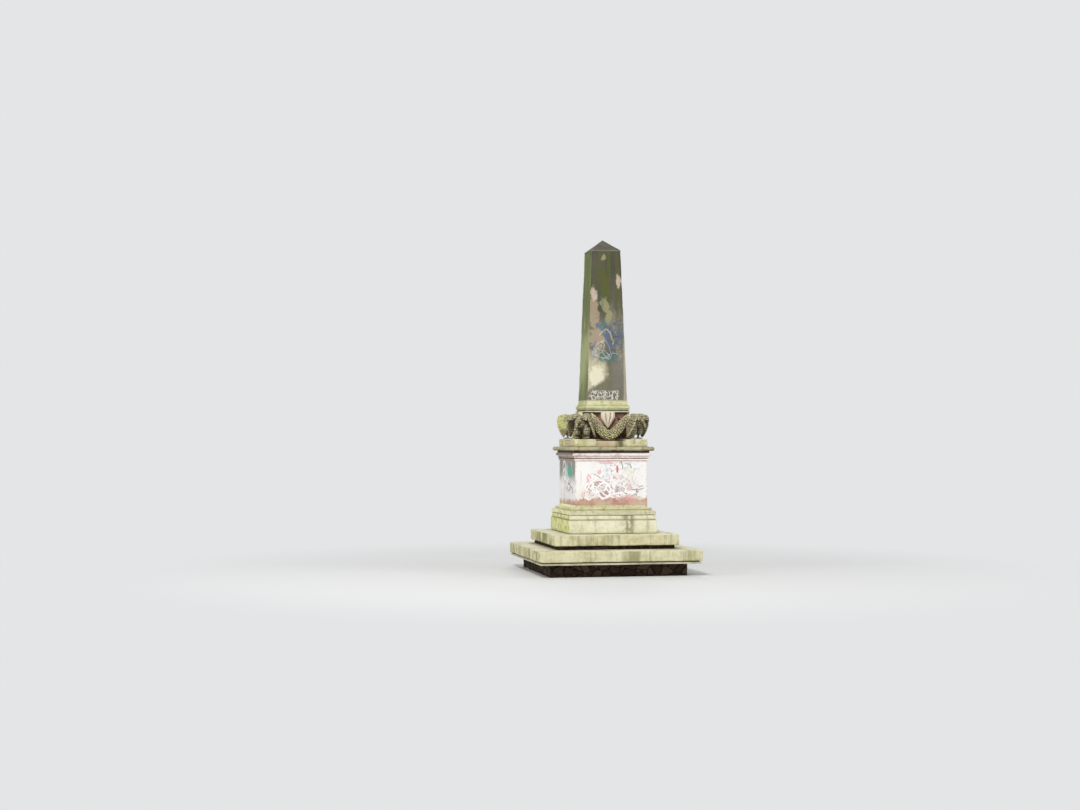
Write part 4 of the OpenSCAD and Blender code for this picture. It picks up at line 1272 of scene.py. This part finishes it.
cloth = thin_piece("pendant", 40, 44, cloth_place, (0, thick, 0), ((0, high.y, 0), (0, 1, 0)))
set_round(cloth, quarters, (0, 0, 0), drape_finish, (0.003, 0.06), 40,
          rounds=8, full=0.005)


# ---- Cap and shaft base: a thin cap over the core, and the roll and hollow from which the
# shaft rises. Water runs off the shaft onto them, so they are pale, with moss in the joints.

neck = sandstone("shaft base stone", (211, 208, 170), (230, 227, 193), (176, 172, 132))
damp = neck.crust(0.09, 131.0)
neck.coat(neck.hollow.rise(0.53, 0.76) * 0.7, (84, 80, 50))
neck.coat(neck.up.rise(0.1, 0.7) * damp.rise(0.40, 0.56) * 0.65, (176, 180, 96), 0.4)
neck.coat(neck.runs(0.06, 132.0, 0.2).rise(0.54, 0.66) * 0.45, (140, 138, 90))
neck.coat(neck.on_left * damp.rise(0.4, 0.55) * 0.6, (168, 176, 100))
neck.coat(neck.z.rise(2.797, 2.801) * neck.z.rise(2.818, 2.814) * 0.9, (54, 48, 32))
neck_finish = neck.close(0.003)

set_course("core_cap_stone", "core_cap", neck_finish, "shaft_stone", 14,
           (0.002, 0.012, 0.1), (0.004, 0.07), (0.12, 4))
set_course("shaft_base_mouldings", "shaft_base", neck_finish, "shaft_stone", 15,
           (0.003, 0.018, 0.12), (0.005, 0.09), (0.12, 4), wide=0.025)


# ---- Shaft: one tall tapering stone, grey with age. Green runs down it from the top, pale
# patches show where the crust has gone, the palest of them partly painted sunlight, and faded
# spray in blue and white crosses its foot.

needle = sandstone("shaft stone", (116, 112, 97), (136, 132, 116), (92, 89, 76))
shade_and_soot = needle.place.patches(0.5, 141.0, 5.0, 0.6, (1, 1, 0.45))
thin_runs = needle.runs(0.05, 142.0, 0.045)
broad_runs = needle.runs(0.14, 143.0, 0.09)
flecks = needle.place.patches(0.03, 144.0, 4.0, 0.65)
frontward = needle.on_front
leftward = needle.on_left
hand = Spray(needle, needle.x, 0.10)
# The top third keeps its dark crust, with green where the rain runs down from the point
upper = (needle.z + (shade_and_soot - 0.5) * 0.7).rise(4.25, 4.75)
needle.coat(upper * 0.8, (76, 72, 65))
needle.coat(upper * shade_and_soot.rise(0.46, 0.60) * 0.5, (62, 59, 50))
needle.coat(broad_runs.rise(0.47, 0.60) * (0.25 + upper * 0.55), (84, 88, 48))
middle_run = needle.x.within(-0.10, 0.07, 0.04) * needle.z.rise(4.5, 4.8) * frontward
needle.coat(middle_run * (broad_runs * 0.4 + thin_runs * 0.6).rise(0.36, 0.52) * 0.85,
            (84, 90, 42))
needle.coat(thin_runs.rise(0.55, 0.66) * 0.4, (94, 98, 60))
# Lower down the crust has come off in sheets, most of it on the left of the front; the palest
# patch there is partly painted sunlight
bare = (1 - upper) * (shade_and_soot * 0.5 + broad_runs * 0.3 + flecks * 0.2).rise(0.54, 0.42)
needle.coat(bare * 0.6, (170, 163, 138))
tan = hand.marks(((-0.235, 4.52, 0.10, 0.30), (-0.19, 4.06, 0.14, 0.18),
                  (-0.26, 3.75, 0.11, 0.14)))
needle.coat(frontward * tan * (0.35 + flecks * 0.6), (180, 160, 136))
roof = needle.x.rise(-0.004, -0.02) * (needle.x * 0.63 + 3.356) \
    + needle.x.rise(-0.02, -0.004) * (3.356 - needle.x * 1.24)
above_roof = (needle.z + (flecks - 0.5) * 0.10 - roof).rise(-0.04, 0.05)
field = (hand.s + (shade_and_soot - 0.5) * 0.25).rise(0.08, -0.10) * (
    hand.h + (shade_and_soot - 0.5) * 0.5 + (flecks - 0.5) * 0.1).rise(3.78, 3.52)
needle.coat(frontward * field * above_roof * 0.85, (200, 193, 163))
# painted sunlight in part: the palest patch of the pale field
needle.coat(frontward * above_roof * hand.patch(-0.17, 3.40, 0.15, 0.19) * 0.8, (228, 223, 197))
needle.coat(frontward * (1 - above_roof) * needle.z.rise(3.08, 3.18)
            * (0.2 + broad_runs * 0.7), (112, 110, 86))
needle.coat(frontward * needle.x.rise(0.03, 0.14) * needle.z.within(3.15, 3.66, 0.08)
            * (0.2 + flecks * 0.7), (128, 122, 114))
rosy = hand.marks(((-0.225, 4.84, 0.06, 0.12), (0.215, 5.05, 0.045, 0.11)))
needle.coat(frontward * rosy * (0.5 + flecks * 0.5), (200, 181, 168))
straw = hand.marks(((-0.02, 4.62, 0.07, 0.14, -0.2), (0.03, 4.42, 0.06, 0.12),
                    (-0.047, 5.47, 0.03, 0.06)))
needle.coat(frontward * straw * (0.3 + flecks * 0.6), (166, 160, 118))
needle.coat(frontward * needle.x.rise(0.285, 0.31) * needle.z.rise(4.2, 3.9) * 0.5,
            (190, 182, 156))
# The left face is greener, with a pale diagonal band of painted sunlight half-way up
needle.coat(leftward * (0.55 + broad_runs * 0.35), (106, 114, 70))
lichen_and_light_bands = needle.place.patches(0.25, 146.0, 6.0, 0.65, (1, 1, 0.35))
needle.coat(leftward * (needle.z + needle.y * 0.6 + (lichen_and_light_bands - 0.5) * 1.8).within(3.4, 4.2, 0.25)
            * (0.35 + thin_runs * 0.8).at_most(1) * 0.8, (186, 192, 144))
needle.coat(leftward * thin_runs.rise(0.5, 0.62) * 0.5, (132, 142, 88))
# Blue and green spray half-way up, and black and white spray across the foot, both worn thin
worn_spray = flecks.rise(0.34, 0.52)
blue_zone = needle.z.within(3.66, 4.36, 0.1) * (frontward + (1 - frontward) * 0.25)
right_half = needle.x.within(0.0, 0.28, 0.05)
needle.coat(blue_zone * right_half * shade_and_soot.rise(0.36, 0.5) * 0.55, (92, 96, 108))
needle.coat(blue_zone * right_half * hand.loops(0.11, 153.0, 0.045) * worn_spray * 0.8,
            (70, 78, 104))
for colour, strength, patches, strokes, rings in (
        ((70, 112, 108), 0.7, ((-0.045, 4.30, 0.07, 0.07), (0.02, 3.72, 0.16, 0.08)),
         ((-0.10, 4.80, -0.07, 4.60, 0.02, 0.03),), ()),
        ((78, 108, 144), 0.75, (),
         ((-0.18, 4.28, -0.02, 4.08, 0.045, 0.03), (-0.22, 4.00, -0.24, 3.70, 0.02, -0.02)),
         ((0.12, 4.06, 0.12, 0.14, 0.026, 0.2),)),
        ((200, 208, 204), 0.5, (), (),
         ((-0.15, 3.87, 0.09, 0.12, 0.013, 0.4), (-0.09, 3.79, 0.12, 0.07, 0.012, -0.5),
          (-0.19, 3.78, 0.06, 0.10, 0.012, 0.2))),
        ((202, 200, 180), 0.5, (),
         ((-0.13, 4.12, 0.02, 4.20, 0.014, 0.02), (-0.02, 4.21, 0.10, 3.97, 0.015, 0.05),
          (-0.06, 3.72, 0.18, 3.78, 0.012, 0.04)),
         ((-0.01, 3.86, 0.08, 0.15, 0.012, -0.3),))):
    needle.coat(frontward * hand.marks(patches, strokes, rings) * worn_spray * strength, colour)
low_zone = needle.z.within(2.99, 3.15, 0.02) * needle.x.within(-0.33, 0.2, 0.03) * frontward
needle.coat(low_zone * 0.4, (136, 131, 118))
needle.coat(low_zone * hand.loops(0.034, 157.0, 0.10, 0.5) * worn_spray * 0.8, (76, 72, 74))
needle.coat(low_zone * hand.loops(0.030, 159.0, 0.11, 0.5) * worn_spray * 0.9, (222, 217, 204))
needle.coat((needle.z + (flecks - 0.5) * 0.03).rise(2.995, 2.975) * 0.7, (206, 202, 166))
needle.coat(needle.hollow.rise(0.42, 0.15) * 0.5, (172, 166, 140))
needle_finish = needle.close(0.005)

set_course("shaft_stone", "shaft", needle_finish, "shaft_stone", 16,
           (0.004, 0.030, 0.13), (0.006, 0.16), (0.12, 8))


# ---- Pyramidion: the low pyramid that ends the shaft, with an upright edge round its foot.
# It is the most weathered stone of all, grey and purple with old crust, and paler at its edge.

tip = sandstone("pyramid stone", (92, 89, 78), (115, 110, 97), (68, 64, 56))
tip_crust = tip.crust(0.08, 161.0)
tip.coat(tip_crust.rise(0.5, 0.64) * 0.55, (92, 80, 80))
tip.coat(tip.place.patches(0.2, 162.0, 5.0).rise(0.52, 0.66) * 0.5, (112, 116, 78), 0.3)
tip.coat((tip.z + tip_crust * 0.01).rise(5.612, 5.600) * 0.5, (146, 140, 120))
tip_finish = tip.close(0.004)

set_course("pyramid_stone", "pyramidion", tip_finish, "shaft_stone", 17,
           (0.003, 0.020, 0.09), (0.006, 0.08), (0.1, 6), wide=0.025)


# ---- Floor, light and camera: a pale floor without an edge, which fades into the backdrop.
# A soft sky lights the obelisk, with a strong lamp before it and three weaker ones about it,
# and the camera stands where the photo was taken.

bpy.ops.object.select_all(action="DESELECT")
bpy.ops.mesh.primitive_plane_add(size=400)
floor = bpy.context.object
floor.name = "floor"
backdrop_tone = tone(228, 229, 230)
ground = Finish("pale floor")
ground.colour = ground.place.patches(6.0, 171.0).blend(tone(226, 226, 224), tone(231, 231, 229))
ground.relief = ground.place.patches(0.5, 172.0)
floor.data.materials.append(ground.close(0.001, 0.95, 0.1))
tree = ground.material.node_tree
# Far from the obelisk the floor runs into the backdrop's own colour, for the camera alone
away = ground.x.far(ground.y).rise(3.0, 9.0)
camera_ray = away.node("LightPath", {}, "Is Camera Ray")
glow = away.node("Emission", {"Color": backdrop_tone, "Strength": 1.0})
shown = away.node("MixShader", {
    0: away * camera_ray, 1: Wire(tree, ground.shader.outputs[0]), 2: glow})
tree.links.new(shown.socket, tree.nodes["Material Output"].inputs["Surface"])

world = bpy.data.worlds.new("studio")
bpy.context.scene.world = world
world.use_nodes = True
world.node_tree.nodes.clear()
sky = Wire(world.node_tree)
seen = sky.node("LightPath", {}, "Is Camera Ray").at_least(
    sky.node("LightPath", {}, "Is Glossy Ray")).at_least(
    sky.node("LightPath", {}, "Is Transmission Ray"))
soft_light = sky.node("Background", {"Color": (0.95, 0.97, 1, 1), "Strength": 0.42})
backdrop = sky.node("Background", {"Color": backdrop_tone, "Strength": 1.0})
both = sky.node("MixShader", {0: seen, 1: soft_light, 2: backdrop})
output = world.node_tree.nodes.new("ShaderNodeOutputWorld")
world.node_tree.links.new(both.socket, output.inputs["Surface"])


def softbox(name, place, size, power):
    """A round lamp that looks at the middle of the obelisk."""
    bpy.ops.object.light_add(type="AREA", location=place)
    lamp = bpy.context.object
    lamp.name = name
    lamp.data.shape = "DISK"
    lamp.data.size = size
    lamp.data.energy = power
    lamp.rotation_mode = "QUATERNION"
    lamp.rotation_quaternion = (Vector((0, 0, 2.5)) - Vector(place)).to_track_quat("-Z", "Y")


softbox("key", (-8, -16, 17), 5, 3000)
softbox("left fill", (-16, -4, 8), 8, 500)
softbox("right fill", (15, -9, 8), 8, 700)
softbox("back", (4, 18, 12), 8, 700)

distance, camera_height = 28.08, 2.266
azimuth, yaw, pitch = (math.radians(a) for a in (-13.6, 2.24, 1.31))
bpy.ops.object.camera_add(
    location=(distance * math.sin(azimuth), -distance * math.cos(azimuth), camera_height),
    rotation=(math.pi / 2 + pitch, 0, azimuth + yaw))
camera = bpy.context.object
camera.data.sensor_width = 36
camera.data.lens = 36 * 1600 / 1080
bpy.context.scene.camera = camera
